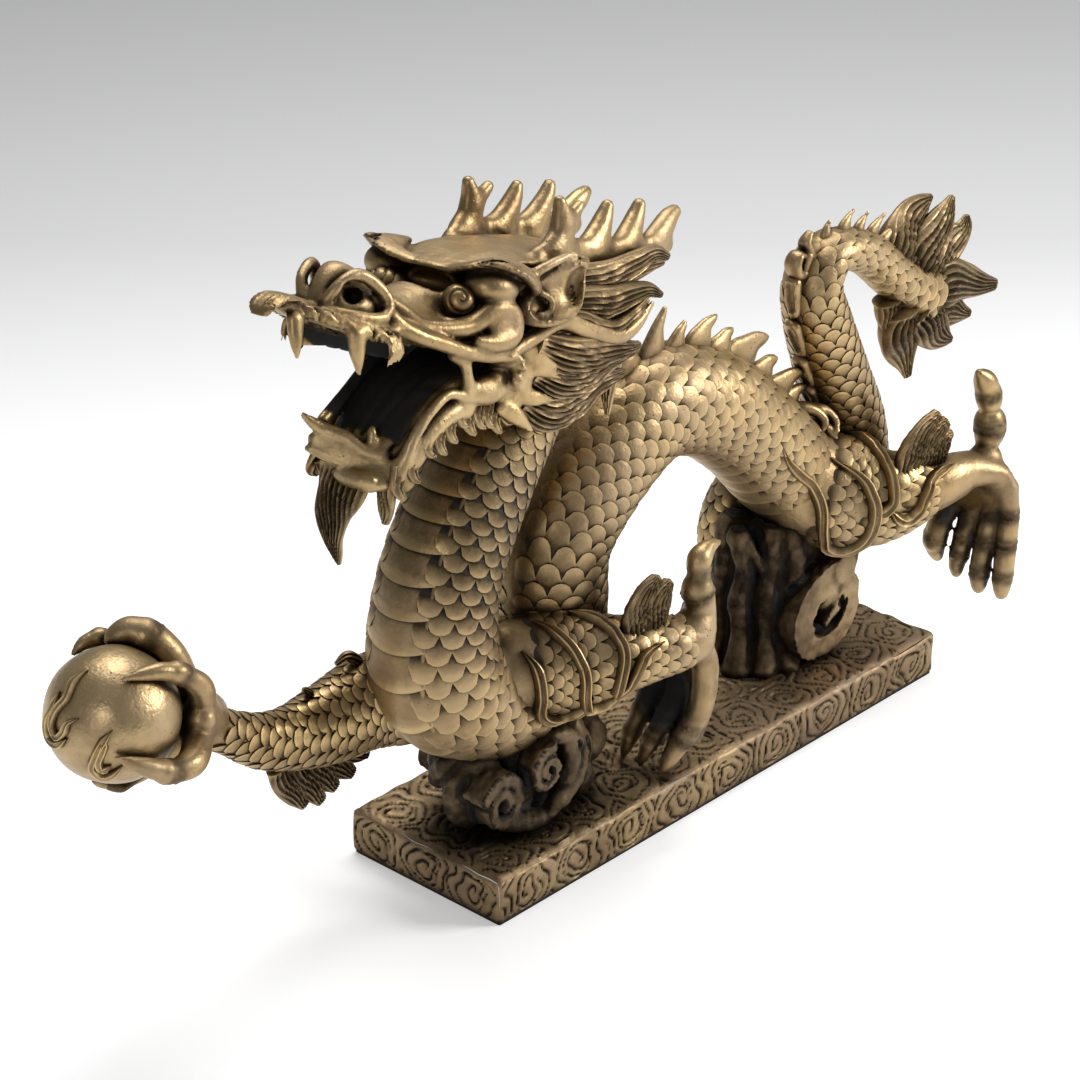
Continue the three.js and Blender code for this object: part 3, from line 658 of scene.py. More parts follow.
    # The far rim runs straight down to the lip.
    wax.limb([(106, -31, -17, 4), (126, -26, -22, 4), (150, -24, -42, 4), (174, -22, -61, 4)], 2)
    wax.limb([(146, 28, -90, 9), (156, 20, -88, 9), (164, 9, -84, 9), (171, -3, -78, 8), (177, -13, -75, 7),
              (184, -19, -72, 4)], 4)
    # The ridge of front teeth behind the lip, with a peg tooth and a pointed far end.
    wax.limb([(162, 20, -76, 5, 4), (170, 10, -74, 5.4, 4.6), (176, -1, -68, 5.4, 5), (181, -12, -66, 5, 5),
              (188, -18, -62, 4, 4), (196, -22, -57, 1.8)], 2.5)
    wax.limb([(164, 14, -82, 5.4, 4.6), (165, 13.5, -71, 4.6, 4.2), (166, 13, -63, 3.6, 3.2),
              (166, 12.5, -59, 2.2)], 2)
    # Tongue: broad, creased along its length, filling the trough and rising from the throat.
    wax.limb([(66, 1, -20, 30, 10), (104, 3, -26, 30, 8), (128, 3, -37, 29, 7), (148, 3, -55, 26, 6),
              (162, 2, -72, 21, 5)], 3)
    for l in (-20, -9, 3, 14):
        wax.limb([(104, 0.9 * l, -17, 1.6), (130, l, -30, 1.8), (150, 0.9 * l, -48, 1.8),
                  (162, 0.8 * l, -66, 1.4)], 2, carve=True)
    # Jaw muscle and the leaf-shaped cheek plate over the hinge.
    wax.ball((92, 45, -28), (17, 8, 10), 4, mirror=True)
    wax.ball((72, 44, -22), (18, 8, 13), 4, mirror=True)
    wax.limb([(88, 49, -6, 11, 3.5), (72, 51, -12, 13, 4), (60, 52, -22, 9, 3.5), (58, 52, -31, 3, 2)], 2,
              wide=(1, 0, 0.4), mirror=True)
    for rows in (
        [(66, 48, -30, 7, 4), (48, 53, -32, 6, 3.5), (28, 56, -33, 1.4)],
        [(74, 46, -38, 7, 4.5), (60, 51, -45, 6, 4), (44, 53, -54, 1.4)],
        [(60, 50, -12, 6, 4), (46, 55, -12, 6, 3.6), (28, 58, -17, 1.6)],
        [(70, 50, 2, 7, 4), (54, 55, -3, 7, 4), (36, 59, -9, 2)],
    ):
        wax.limb(rows, 2.2, wide=(0, 0, 1), mirror=True)
    # Ears: dished leaves with a small scroll inside.
    for side, k in ((1, 1.0), (-1, 0.6)):
        for rows, soft, carve in (
            ([(78, 50, 26, 10, 5), (68, 56, 32, 18, 7), (52, 62, 42, 20, 6.5), (38, 64, 53, 13, 4.5),
              (28, 63, 62, 4, 3)], 3, False),
            ([(72, 63, 30, 8, 6), (60, 67, 37, 14, 7), (48, 69, 46, 14, 7), (38, 68, 54, 7, 5)], 1.2, True),
            ([(69, 59, 40, 2.6, 2.6), (62, 64, 36, 2.6, 2.6), (62, 64, 28, 2.8, 2.8),
              (69, 61, 25, 2.8, 2.8)], 1.2, False),
            ([(80, 48, 40, 3.4, 3.4), (76, 54, 50, 3.6, 3.6), (62, 60, 60, 3.2, 3.2), (44, 62, 66, 2.6, 2.6),
              (30, 63, 65, 2, 2)], 2, False),
        ):
            rows = [
                (76 + k * (f - 76), side * (50 + k * (l - 50)), 26 + k * (u - 26), k * w, k * d)
                for f, l, u, w, d in rows
            ]
            wax.limb(rows, soft, carve=carve, wide=(0.8, 0, -1))
    # Horns: on each side a wall carrying a row of blunt prongs, the first one forked.
    wax.limb([(46, 36, 60, 7, 5), (20, 39, 62, 12, 6), (-20, 41, 62, 13, 6), (-60, 41, 66, 12, 5.5),
              (-92, 40, 68, 10, 5), (-106, 39, 74, 7, 4.5)], 5, wide=(0, 0, 1), mirror=True)
    for rows in (
        [(26, 38, 66, 17, 9), (25, 38, 76, 11, 8), (26, 38, 86, 9, 7), (30, 38, 93, 6, 5.6),
         (33, 38, 98, 4.4)],
        [(24, 38, 82, 7, 6), (15, 38, 90, 5.4, 5), (9, 38, 96, 4)],
        [(-14, 39, 66, 16, 9), (-19, 38.5, 78, 10.5, 8), (-23, 38, 89, 7, 6.4), (-25, 38, 97, 4.6)],
        [(-52, 40, 68, 15, 9), (-57, 39, 79, 10.5, 8), (-62, 38, 91, 7, 6.4), (-64, 38, 99, 4.8)],
        [(-88, 40, 72, 13, 8), (-96, 39, 82, 10, 7.5), (-104, 38, 91, 7.6, 6.6), (-110, 38, 96, 5)],
    ):
        wax.limb(rows, 5, wide=(1, 0, 0), mirror=True)
    # Grooves worked along the brows, the nose and the curled snout tip.
    for k in range(7):
        f = 120 - 4.2 * k
        wax.limb([(f + 5, 40 + 1.6 * k, 54 + 0.6 * k, 1), (f, 46 + 1.6 * k, 57 + 0.3 * k, 1.3),
                  (f - 5, 52 + 1.2 * k, 52, 1)], 0.8, carve=True, mirror=True)
    for k in (-2, -1, 0, 1, 2):
        wax.limb([(252, 3 * k, 24.6, 0.9), (266, 4 * k, 27, 1.3), (277, 4.3 * k, 24.4, 1.4),
                  (286, 4 * k, 17, 1.5), (288, 3.4 * k, 10, 1.6)], 0.8, carve=True)
    return wax


def spiral_ball(mesh, centre, axis, radius):
    """A ball with a snail-shell spiral cut round its pole."""
    turns, relief = 2.2, 0.09
    axis = unit(axis)
    side = unit(np.cross(axis, vec(0.1, 0.2, 1)))
    other = np.cross(axis, side)
    polar = np.linspace(0.001, 0.62 * math.pi, 26)[:, None]
    turn = np.linspace(0, 2 * math.pi, 40, endpoint=False)[None, :]
    phase = (turns * polar / (0.5 * math.pi) - turn / (2 * math.pi)) % 1.0
    ridge = smoothstep(0.0, 0.25, phase) * (1 - smoothstep(0.82, 1.0, phase))
    ridge = ridge * smoothstep(0.02, 0.16, polar) + 0.9 * (1 - smoothstep(0.02, 0.16, polar))
    size = radius * (1 - relief * (1 - ridge))
    points = (
        np.array(centre, float)
        + axis * (size * np.cos(polar))[..., None]
        + (side * np.cos(turn)[..., None] + other * np.sin(turn)[..., None]) * (size * np.sin(polar))[..., None]
    )
    mesh.grid(points, (1 - ridge) * 0.8, wrap=True)


def head():
    wax = head_field()
    points, quads, shut = wax.surface()
    f, l, u = points.T
    # The inside of the mouth and the two nostrils are painted near black as shade.
    roof = np.interp(f, (60, 110, 150, 215, 250), (4, -3, -2, 4, 10))
    floor = np.interp(f, (60, 100, 122, 148, 164, 176), (-44, -44, -52, -72, -84, -78))
    front = np.interp(u, (-84, -66, -50, -20, 0), (150, 158, 178, 196, 244))
    mouth_painted_shade = smoothstep(0, 4, roof - u) * smoothstep(-2, 4, u - floor) * smoothstep(60, 80, f)
    mouth_painted_shade = mouth_painted_shade * (1 - smoothstep(26, 31, np.abs(l - 1))) * (1 - smoothstep(-4, 4, f - front))
    hollow = np.exp(-(((f - 214) / 9) ** 2 + ((np.abs(l) - 16) / 8) ** 2 + ((u - 29) / 7) ** 2) ** 2)
    mesh = Mesh()
    mesh.add(to_world(points), quads, np.maximum.reduce([np.clip(shut, 0, 1), 1.6 * mouth_painted_shade, 1.5 * hollow]))
    for side in (1, -1):
        spiral_ball(mesh, to_world((119, side * 31, 28.5)), vec(0.74, side * 0.6, 0.3) @ HEAD_AXES, 11.6)
    return mesh


def mane():
    """Combed wavy locks streaming back from the cheeks, with the beard and the fringe of the jaw."""
    mesh = Mesh()

    def comb(rows, wide, grooves, depth=0.17, wave=0.22, samples=30, around=52, side=1):
        world = [tuple(to_world((f, side * l, u))) + tuple(sizes) for f, l, u, *sizes in rows]
        lock(mesh, world, (vec(1, side, 1) * wide) @ HEAD_AXES, grooves, depth, samples, around, wave)

    for side in (1, -1):
        # The locks of one cheek, from the temple down to the jaw, and the one behind them.
        for rows, grooves in (
            ([(44, 46, 44, 8, 7), (14, 50, 47, 12, 8), (-12, 53, 50, 13, 8), (-40, 56, 60, 11, 7),
              (-60, 58, 69, 7, 5), (-80, 58, 67, 3, 2.4)], 6),
            ([(46, 50, 32, 8, 8), (14, 56, 34, 12, 9), (-12, 58, 34, 13, 9), (-34, 60, 40, 10, 8),
              (-56, 61, 44, 6, 5), (-75, 61, 41, 2.4)], 6),
            ([(48, 50, 12, 8, 8), (24, 57, 20, 11, 8), (0, 59, 14, 12, 8), (-20, 61, 14, 10, 8),
              (-38, 62, 24, 7, 6), (-56, 62, 38, 3)], 6),
            ([(56, 52, 4, 10, 8), (26, 58, -2, 15, 9), (2, 60, -3, 15, 9), (-20, 61, 0, 11, 8),
              (-40, 61, 3, 7, 6), (-58, 61, 6, 2.4)], 7),
            ([(48, 48, -14, 10, 8), (18, 54, -20, 14, 9), (-6, 57, -16, 14, 9), (-26, 59, -6, 9, 7),
              (-40, 59, -2, 6, 5), (-56, 59, 0, 2)], 7),
            ([(48, 42, -36, 10, 8), (20, 48, -44, 14, 9), (-4, 52, -36, 13, 9), (-22, 55, -24, 9, 7),
              (-38, 57, -17, 6, 5), (-52, 57, -13, 2)], 7),
            ([(6, 44, 40, 8, 6), (-30, 47, 46, 10, 6), (-62, 48, 56, 8, 5), (-90, 48, 62, 3)], 4),
        ):
            comb(rows, (0, 0.25, 1), grooves, side=side)
        # Fringe of short flames under the jaw.
        for k in range(11):
            f = 156 - 9.2 * k
            l = np.interp(f, (60, 130, 156), (41, 38, 31))
            u = np.interp(f, (60, 110, 140, 156), (-38, -40, -62, -86))
            low = 15 + 3 * math.sin(2.3 * k)
            rows = [(f, l, u + 4, 7.5, 5), (f + 3, l + 3, u - 0.45 * low, 7, 4.6),
                    (f + 1, l + 5, u - 0.8 * low, 4.5, 3.4), (f - 5, l + 5.5, u - low, 1.6, 1.4)]
            comb(rows, (1, 0, 0.35), 3, 0.24, 0.3, 14, 34, side)
    for l in (-30, -15, 0, 15, 30):
        rise = 3 - 0.006 * l * l
        comb([(4, l, 56, 8, 7), (-34, l, 51 + rise, 10, 8), (-56, 1.1 * l, 30 + rise, 11, 8),
              (-64, 1.2 * l, 2, 10, 7), (-66, 1.2 * l, -26, 7, 5), (-72, 1.2 * l, -48, 2, 2)], (0, 1, 0), 5,
              0.2, 0.5)
    comb([(166, -2, -88, 22, 8), (168, -2, -103, 19, 7), (172, -3, -118, 15, 6), (173, 0, -133, 9, 5),
          (170, 4, -146, 4, 3), (168, 5, -151, 1.5)], (0, 1, -0.2), 9, 0.2, 0.5, 26, 96)
    comb([(158, 24, -88, 13, 6), (154, 23, -100, 12, 5.5), (149, 21, -112, 9, 4.5), (145, 20, -121, 3)],
          (0.6, 1, 0), 5, 0.22, 0.4, 18, 50)
    comb([(158, -26, -88, 9, 6), (154, -24, -98, 7, 5), (149, -21, -107, 4, 3), (147, -20, -112, 1.8)],
          (0.6, -1, 0), 4, 0.2, 0.4, 18, 44)
    return mesh


# ---- legs and claws -------------------------------------------------------------------------------------


def tube_place(wax, rows, wide):
    """Places points round a limb by run and angle, pressed on to its blended wax, with a lift outwards."""
    line, run = spline(full(rows), 90)
    tangent = along(line[:, :3])
    side = unit(wide - tangent * (tangent @ vec(*wide))[:, None])
    deep = np.cross(tangent, side)

    def bare(at, angle):
        """The limb's centre, and the way from it to its bare skin, at a run and an angle."""
        column = [np.interp(at, run, line[:, k]) for k in range(5)]
        s = unit(np.stack([np.interp(at, run, side[:, k]) for k in range(3)], -1))
        d = unit(np.stack([np.interp(at, run, deep[:, k]) for k in range(3)], -1))
        out = s * (column[3] * np.cos(angle))[..., None] + d * (column[4] * np.sin(angle))[..., None]
        return np.stack(column[:3], -1), out

    def place(at, angle, lift):
        at, angle, lift = np.broadcast_arrays(at, angle, lift)
        centre, out = bare(at, angle)
        points = centre + out
        for _ in range(3):
            points = points - unit(out) * np.clip(wax.sample(points), -6, 6)[..., None]
        return points + wax.slope(points) * lift[..., None]

    def moved(at, angle):
        """How far the blended wax stands from the bare limb at one place."""
        centre, out = bare(at, angle)
        return abs(wax.sample((centre + out)[None])[0])

    return place, moved, run[-1], line


SUNK = 8.0  # a limb this deep in the body carries no scale there


def limb_scales(mesh, wax, rows, wide, first, last, width):
    """Rows of round scales down a limb, their free edges towards the paw."""
    place, moved, length, line = tube_place(wax, rows, wide)
    run, row = first * length, 0
    while run < last * length:
        part = run / length * (len(line) - 1)
        girth = math.pi * (line[int(part), 3] + line[int(part), 4])
        count = max(6, int(round(girth / width)))
        for k in range(count):
            angle = 2 * math.pi * (k + 0.5 * (row % 2)) / count
            own = girth / count
            jitter = rng.normal(0, 0.35, 2)
            if moved(run + 0.6 * own, angle) > SUNK:
                continue
            scale_patch(place, run + jitter[0], angle, own, 1.25 * own, 1.02 * 2 * math.pi / count, mesh)
        run += 0.56 * width
        row += 1


def ribbon(mesh, wax, path, half, height=2.6, samples=46):
    """A double-ridged ribbon laid over the wax along a path of world points, thin at its ends."""
    line, run = spline(path, samples)
    for _ in range(5):
        line = line - wax.slope(line) * wax.sample(line)[:, None]
    normal = wax.slope(line)
    side = unit(np.cross(normal, along(line)))
    part = run / run[-1]
    taper = np.clip(np.sin(math.pi * np.clip(part, 0.0, 1.0)) * 2.2, 0.12, 1.0)[:, None]
    a = np.linspace(-1, 1, 15)[None, :]
    twin = np.exp(-(((np.abs(a) - 0.5) / 0.24) ** 2))
    edge = 1 - np.abs(a) ** 5
    lift = ((2.1 * height - 0.1) * edge + height * twin * edge) * (0.35 + 0.65 * taper) - 1.2 * np.abs(a) ** 8
    points = line[:, None] + side[:, None] * (half * taper * a)[..., None]
    for _ in range(2):
        points = points - wax.slope(points) * wax.sample(points)[..., None]
    points = points + normal[:, None] * lift[..., None]
    # The two ridges are painted lighter as rubbed wear and painted highlight; the edges take patina.
    mesh.grid(points, (0.35 - 0.9 * twin + 0.6 * np.abs(a) ** 6) * np.ones_like(part)[:, None])


def side_path(wax, rows):
    """World points where [x, z] rows, seen square from the dragon's left, meet the wax."""
    y = -np.linspace(118, 0, 240)
    path = []
    for x, z in rows:
        line = np.stack([np.full(240, float(x)), y, np.full(240, float(z))], 1)
        inside = wax.sample(line) < 0
        path.append(line[inside.argmax()] if inside.any() else line[180])
    return path


RING_SAMPLES = 60


def rings(wax, rows, at, size):
    """Raised double rings round a toe at several fractions of its length."""
    line, _ = spline(full(rows), RING_SAMPLES)
    tangent = along(line[:, :3])
    for fraction in at:
        for step in (-0.03, 0.03):
            k = int(np.clip((fraction + step) * (RING_SAMPLES - 1), 0, RING_SAMPLES - 1))
            t = tangent[k]
            side = unit(np.cross(t, vec(0.3, 0.5, 0.8)))
            axes = (t, side, np.cross(t, side))
            r = line[k, 3] + size
            wax.ball(line[k, :3], (1.3, r, r), 0.8, turn=axes)


def toe(wax, rows, claw, joints):
    """A ringed toe and its blunt claw."""
    wax.limb(rows, 4.0)
    rings(wax, rows, joints, 1.1)
    wax.limb(claw, 1.5)


def body_wax(wax, low, high):
    """Adds the part of the trunk near a limb, just under its skin, for the limb to blend into."""
    near = (body_line[:, 0] > low[0] - 30) & (body_line[:, 0] < high[0] + 30)
    near &= (body_line[:, 2] > low[2] - 30) & (body_line[:, 2] < high[2] + 30)
    rows = [(r[0], 0, r[2], r[3] - 1.6, r[4] - 1.6) for r in body_line[near][::18]]
    ends = [0] + [i for i in range(1, len(rows)) if math.dist(rows[i], rows[i - 1]) > 60] + [len(rows)]
    for a, b in zip(ends[:-1], ends[1:]):
        if b - a > 2:
            wax.limb(rows[a:b], 0, steps=b - a)


def left_foreleg(mesh, hair):
    low, high = (-215, -112, 34), (-14, -8, 232)
    wax = Field(low, high, 1.9)
    body_wax(wax, low, high)
    leg = [(-176, -16, 158, 32, 34), (-142, -36, 156, 32, 36), (-114, -58, 158, 26, 28),
           (-84, -72, 156, 19, 21), (-58, -78, 154, 17, 18)]
    wax.limb(leg, 9)
    wax.limb([(-74, -75, 157, 18, 17), (-56, -70, 153, 25, 13), (-43, -60, 138, 34, 8),
              (-39, -58, 116, 34, 6), (-42, -57, 92, 32, 6), (-48, -56, 70, 29, 5)], 5)
    for rows, joints, claw in (
        ([(-45, -84, 134, 8.6), (-46, -85, 112, 8.8), (-50, -83, 92, 8.6), (-57, -74, 70, 8.8)], (0.8, 0.97),
          [(-57, -74, 70, 8), (-62, -68, 55, 6.4), (-67, -63, 42, 1.8)]),
        ([(-46, -60, 106, 8.4), (-53, -60, 90, 8), (-60, -55, 74, 7.4), (-65, -51, 62, 6.8)], (0.55, 0.9),
          [(-65, -51, 62, 6), (-68, -48, 52, 4.6), (-69, -45, 42, 1.4)]),
        ([(-46, -36, 104, 8.4), (-52, -36, 88, 8), (-59, -33, 72, 7.4), (-64, -31, 60, 6.6)], (0.55, 0.9),
          [(-64, -31, 60, 6), (-67, -30, 51, 4.6), (-69, -28, 42, 1.4)]),
    ):
        toe(wax, rows, claw, joints)
    wax.ball((-76, -60, 116), (29, 26, 26), 4, carve=True)
    thumb = [(-52, -79, 160, 17), (-45, -79, 173, 12), (-46, -79, 186, 11.5), (-48, -79, 193, 11.8),
             (-47, -79, 201, 8.6), (-47, -79, 208, 7.6)]
    wax.limb(thumb, 4)
    wax.limb([(-48, -79, 211, 8.4), (-46, -79, 217, 9), (-38, -78, 221, 6.4), (-30, -78, 222, 4),
              (-23, -78, 221, 1.5)], 1.5)
    rings(wax, thumb, (0.66, 0.97), 1.2)
    limb_scales(mesh, wax, leg, (0, 0, 1), 0.04, 0.9, 14.0)
    for path, half in (
        ([(-186, 182), (-182, 170), (-180, 150), (-177, 134), (-167, 124), (-154, 123), (-148, 132),
          (-146, 142)], 4.4),
        ([(-164, 192), (-157, 182), (-153, 164), (-152, 144), (-142, 130), (-130, 131), (-125, 142)], 4.4),
        ([(-140, 196), (-128, 188), (-125, 176), (-130, 156), (-131, 142), (-124, 148), (-113, 166),
          (-92, 170)], 4.2),
    ):
        ribbon(mesh, wax, side_path(wax, path), 1.15 * half)
    tuft(hair, (-104, -70, 170), [(-102, -71, 188), (-96, -73, 205), (-87, -75, 216)], 27, 9)
    tuft(hair, (-92, -72, 170), [(-88, -74, 188), (-83, -76, 202), (-77, -77, 210)], 22, 8)
    add_wax(mesh, wax, [((-58, -54, 104), (22, 30, 36)), ((-88, -62, 136), (26, 26, 12))])


def left_hind_leg(mesh, hair):
    low, high = (84, -122, 46), (342, -6, 258)
    wax = Field(low, high, 1.75)
    body_wax(wax, low, high)
    leg = [(150, -14, 184, 34, 40), (178, -34, 170, 34, 43), (206, -54, 166, 26, 35),
           (232, -66, 166, 18, 24), (262, -73, 167, 15, 18)]
    wax.limb(leg, 9)
    wax.limb([(248, -72, 168, 15, 17), (274, -74, 169, 16, 15), (296, -80, 163, 19, 12),
              (303, -86, 148, 20, 9)], 6)
    for rows, joints, claw in (
        ([(303, -95, 150, 9), (303, -98, 128, 8.6), (301, -99, 104, 8.4), (298, -100, 82, 8.4),
          (297, -100, 74, 8.2)], (0.3, 0.62, 0.97), [(297, -100, 76, 7.4), (297, -100, 68, 7.2),
          (297, -100, 62, 5.4)]),
        ([(300, -84, 148, 9), (299, -84, 124, 8.6), (296, -82, 100, 8.4), (295, -80, 80, 8.4),
          (294, -80, 72, 8.2)], (0.3, 0.62, 0.97), [(294, -80, 74, 7.2), (294, -80, 66, 7),
          (294, -80, 61, 5)]),
        ([(297, -70, 146, 9), (296, -68, 124, 8.6), (293, -64, 102, 8.4), (292, -61, 84, 8)],
          (0.35, 0.72, 0.97), [(292, -61, 86, 7), (291, -60, 76, 6.6), (291, -60, 69, 4.6)]),
        ([(294, -56, 144, 9), (290, -50, 124, 8.4), (284, -45, 106, 9.4), (283, -43, 94, 9.6)], (0.5, 0.92),
          [(283, -43, 96, 9), (286, -42, 86, 7.6), (289, -42, 78, 5)]),
    ):
        toe(wax, rows, claw, joints)
    wax.ball((283, -72, 142), (15, 24, 15), 4, carve=True)
    thumb = [(298, -76, 168, 15), (300, -75, 180, 8.6), (303, -75, 192, 12), (303, -75, 201, 12.6),
             (301, -75, 211, 7.4), (300, -75, 221, 10.4), (298, -75, 229, 10)]
    wax.limb(thumb, 3)
    wax.limb([(297, -75, 231, 9.8), (293, -75, 239, 9), (285, -75, 248, 3.6)], 1)
    rings(wax, thumb, (0.42, 0.62, 0.98), 1.0)
    limb_scales(mesh, wax, leg, (0, 0, 1), 0.03, 0.7, 14.5)
    for path, half in (
        ([(88, 249), (98, 230), (112, 214), (126, 200), (134, 180), (138, 158), (148, 141), (160, 138),
          (167, 150), (170, 174), (165, 196), (150, 212)], 4.8),
        ([(193, 214), (189, 202), (187, 190), (183, 174), (172, 168), (166, 176)], 4.4),
        ([(180, 170), (192, 158), (204, 162), (222, 181), (250, 184)], 4.4),
    ):
        ribbon(mesh, wax, side_path(wax, path), 1.15 * half)
    tuft(hair, (208, -66, 182), [(213, -68, 202), (226, -70, 218), (240, -71, 228)], 26, 9)
    tuft(hair, (224, -67, 180), [(229, -69, 198), (240, -71, 212), (250, -72, 219)], 26, 8)
    tuft(hair, (238, -68, 180), [(243, -70, 194), (250, -71, 204), (256, -72, 208)], 18, 8)
    add_wax(mesh, wax, [((276, -66, 128), (14, 24, 30))])


def right_hind_leg(mesh, hair):
    low, high = (78, 4, 38), (214, 98, 220)
    wax = Field(low, high, 2.0)
    body_wax(wax, low, high)
    leg = [(166, 16, 174, 33, 34), (154, 42, 150, 27, 32), (142, 54, 118, 20, 22), (152, 58, 88, 15, 16),
           (146, 58, 64, 15, 14)]
    wax.limb(leg, 8)
    for k in (-1, 0, 1):
        rows = [(144, 58 + 9 * k, 62, 8.5), (130, 58 + 12 * k, 60, 8.5), (118, 57 + 12 * k, 53, 7.6)]
        toe(wax, rows, [(118, 57 + 12 * k, 53, 6.6), (109, 56 + 12 * k, 47, 5), (102, 56 + 12 * k, 42, 1.6)],
                        (0.45, 0.85))
    limb_scales(mesh, wax, leg, (0, 1, 0), 0.2, 0.86, 14.5)
    tuft(hair, (164, 60, 92), [(176, 62, 102), (190, 64, 116)], 12, 7)
    add_wax(mesh, wax)


def right_foreleg(mesh, hair):
    low, high = (-545, -44, 60), (-196, 122, 304)
    wax = Field(low, high, 2.0)
    body_wax(wax, low, high)
    leg = [(-226, 16, 148, 34, 37), (-258, 40, 143, 29, 34), (-290, 48, 137, 24, 30),
           (-326, 50, 139, 19, 22.5), (-356, 50, 149, 15, 18.5), (-382, 50, 166, 13.5, 14.5),
           (-404, 50, 182, 13, 13)]
    wax.limb(leg, 8)

    def grip(rows):
        """World rows from rows of [right, top, near, half width] round the pearl."""
        places = [PEARL_CENTRE + r * PEARL_RIGHT + t * PEARL_TOP + n * PEARL_NEAR for r, t, n, _ in rows]
        return [tuple(place) + row[3:] for place, row in zip(places, rows)]

    wax.limb(grip([(56, -3, -62, 14), (55, -3, -46, 17), (55, -5, -30, 15), (56, -4, -16, 11)]), 6)
    talons = (
        ([(54, 0, -36, 12), (57, 8, -16, 10), (57, 18, 0, 9), (50, 25, 12, 7.4), (44, 28, 20, 8)],
          [(44, 28, 20, 6.6), (33, 29, 29, 6), (22, 27, 36, 4.2), (11, 24.5, 41, 1.4)]),
        ([(51, -8, -36, 12), (54, -21, -12, 10.5), (52, -31, 6, 10), (43, -36, 17, 8), (37, -36, 23, 9)],
          [(37, -36, 23, 7.6), (27, -33, 32, 6.8), (17, -29.5, 38.5, 4.6), (7, -26, 41.5, 1.5)]),
        ([(48, 4, -44, 12), (43, 21, -30, 11), (37, 36, -20, 11), (29, 46, -14, 11), (20, 51.5, -11, 12)],
          [(20, 51.5, -11, 10.6), (10, 54, -10, 10), (1.5, 50, -9, 8), (-2, 45, -8, 3.5)]),
        ([(46, 8, -48, 12), (28, 22, -52, 9), (12, 36, -44, 7.5), (-2, 46, -34, 6.6), (-12, 49.5, -26, 7)],
          [(-12, 49.5, -26, 6), (-21, 46, -22, 5), (-28, 39, -19, 2)]),
        ([(46, -12, -46, 11), (30, -28, -46, 8.5), (12, -40, -36, 7.5), (0, -45, -24, 6.6)],
          [(0, -45, -24, 5.6), (-9, -45, -14, 4.4), (-14, -43, -6, 1.6)]),
    )
    for rows, claw in talons:
        rows = grip(rows)
        wax.limb(rows, 4)
        rings(wax, rows, (0.93,), 0.9)
        wax.limb(grip(claw), 1.5)
    # The ball keeps its own round seat, clear of the palm.
    wax.ball(PEARL_CENTRE, PEARL_RADIUS + 0.4, 1.0, carve=True)
    limb_scales(mesh, wax, leg, (0, 1, 0), 0.06, 0.9, 14.5)
    for root, path, width in (
        ((-340, 50, 122), [(-334, 50, 108), (-326, 50, 94), (-316, 50, 80)], 19),
        ((-327, 50, 120), [(-318, 50, 104), (-309, 50, 90), (-300, 50, 76)], 20),
        ((-312, 50, 120), [(-304, 50, 106), (-296, 50, 93), (-286, 50, 81)], 20),
        ((-298, 50, 120), [(-290, 50, 108), (-281, 50, 96), (-269, 50, 85)], 20),
        ((-286, 48, 122), [(-278, 48, 112), (-268, 48, 102), (-256, 48, 96)], 16),
    ):
        tuft(hair, root, path, width, 7)
    tuft(hair, (-262, 42, 168), [(-270, 44, 180), (-276, 46, 184), (-284, 48, 180)], 7, 5)
    tuft(hair, (-304, 50, 158), [(-309, 50, 168), (-314, 50, 172)], 5, 4)
    add_wax(mesh, wax)


def tuft(mesh, root, path, width, thick):
    """Hair standing off a limb: a grooved lock, broad in the middle and cut off bluntly."""
    sizes = ((0.85, 1.0), (1.0, 0.95), (0.8, 0.75), (0.4, 0.5))
    if len(path) < 3:
        sizes = ((0.9, 1), (0.9, 0.9), (0.4, 0.4))
    rows = [tuple(p) + (0.62 * width * a, thick * b) for p, (a, b) in zip([root] + path, sizes)]
    direction = vec(*path[-1]) - vec(*root)
    lock(mesh, rows, np.cross(unit(direction), (0, 1, 0)), max(3, int(width / 3)), 0.22, 22, 48, 0.35)


def add_wax(mesh, wax, hollows=()):
    """Meshes the wax; each hollow [place, radii] is painted darker than its surroundings, as shade."""
    points, quads, shut = wax.surface()
    for place, radii in hollows:
        shut = np.maximum(shut, 1.5 * nearness(points, place, radii))
    mesh.add(points, quads, shut)


# ---- pearl ----------------------------------------------------------------------------------------------

PAD_PAINTED_SHADE = 0.95  # the pad under the pearl is painted dark, as the shade beneath the ball
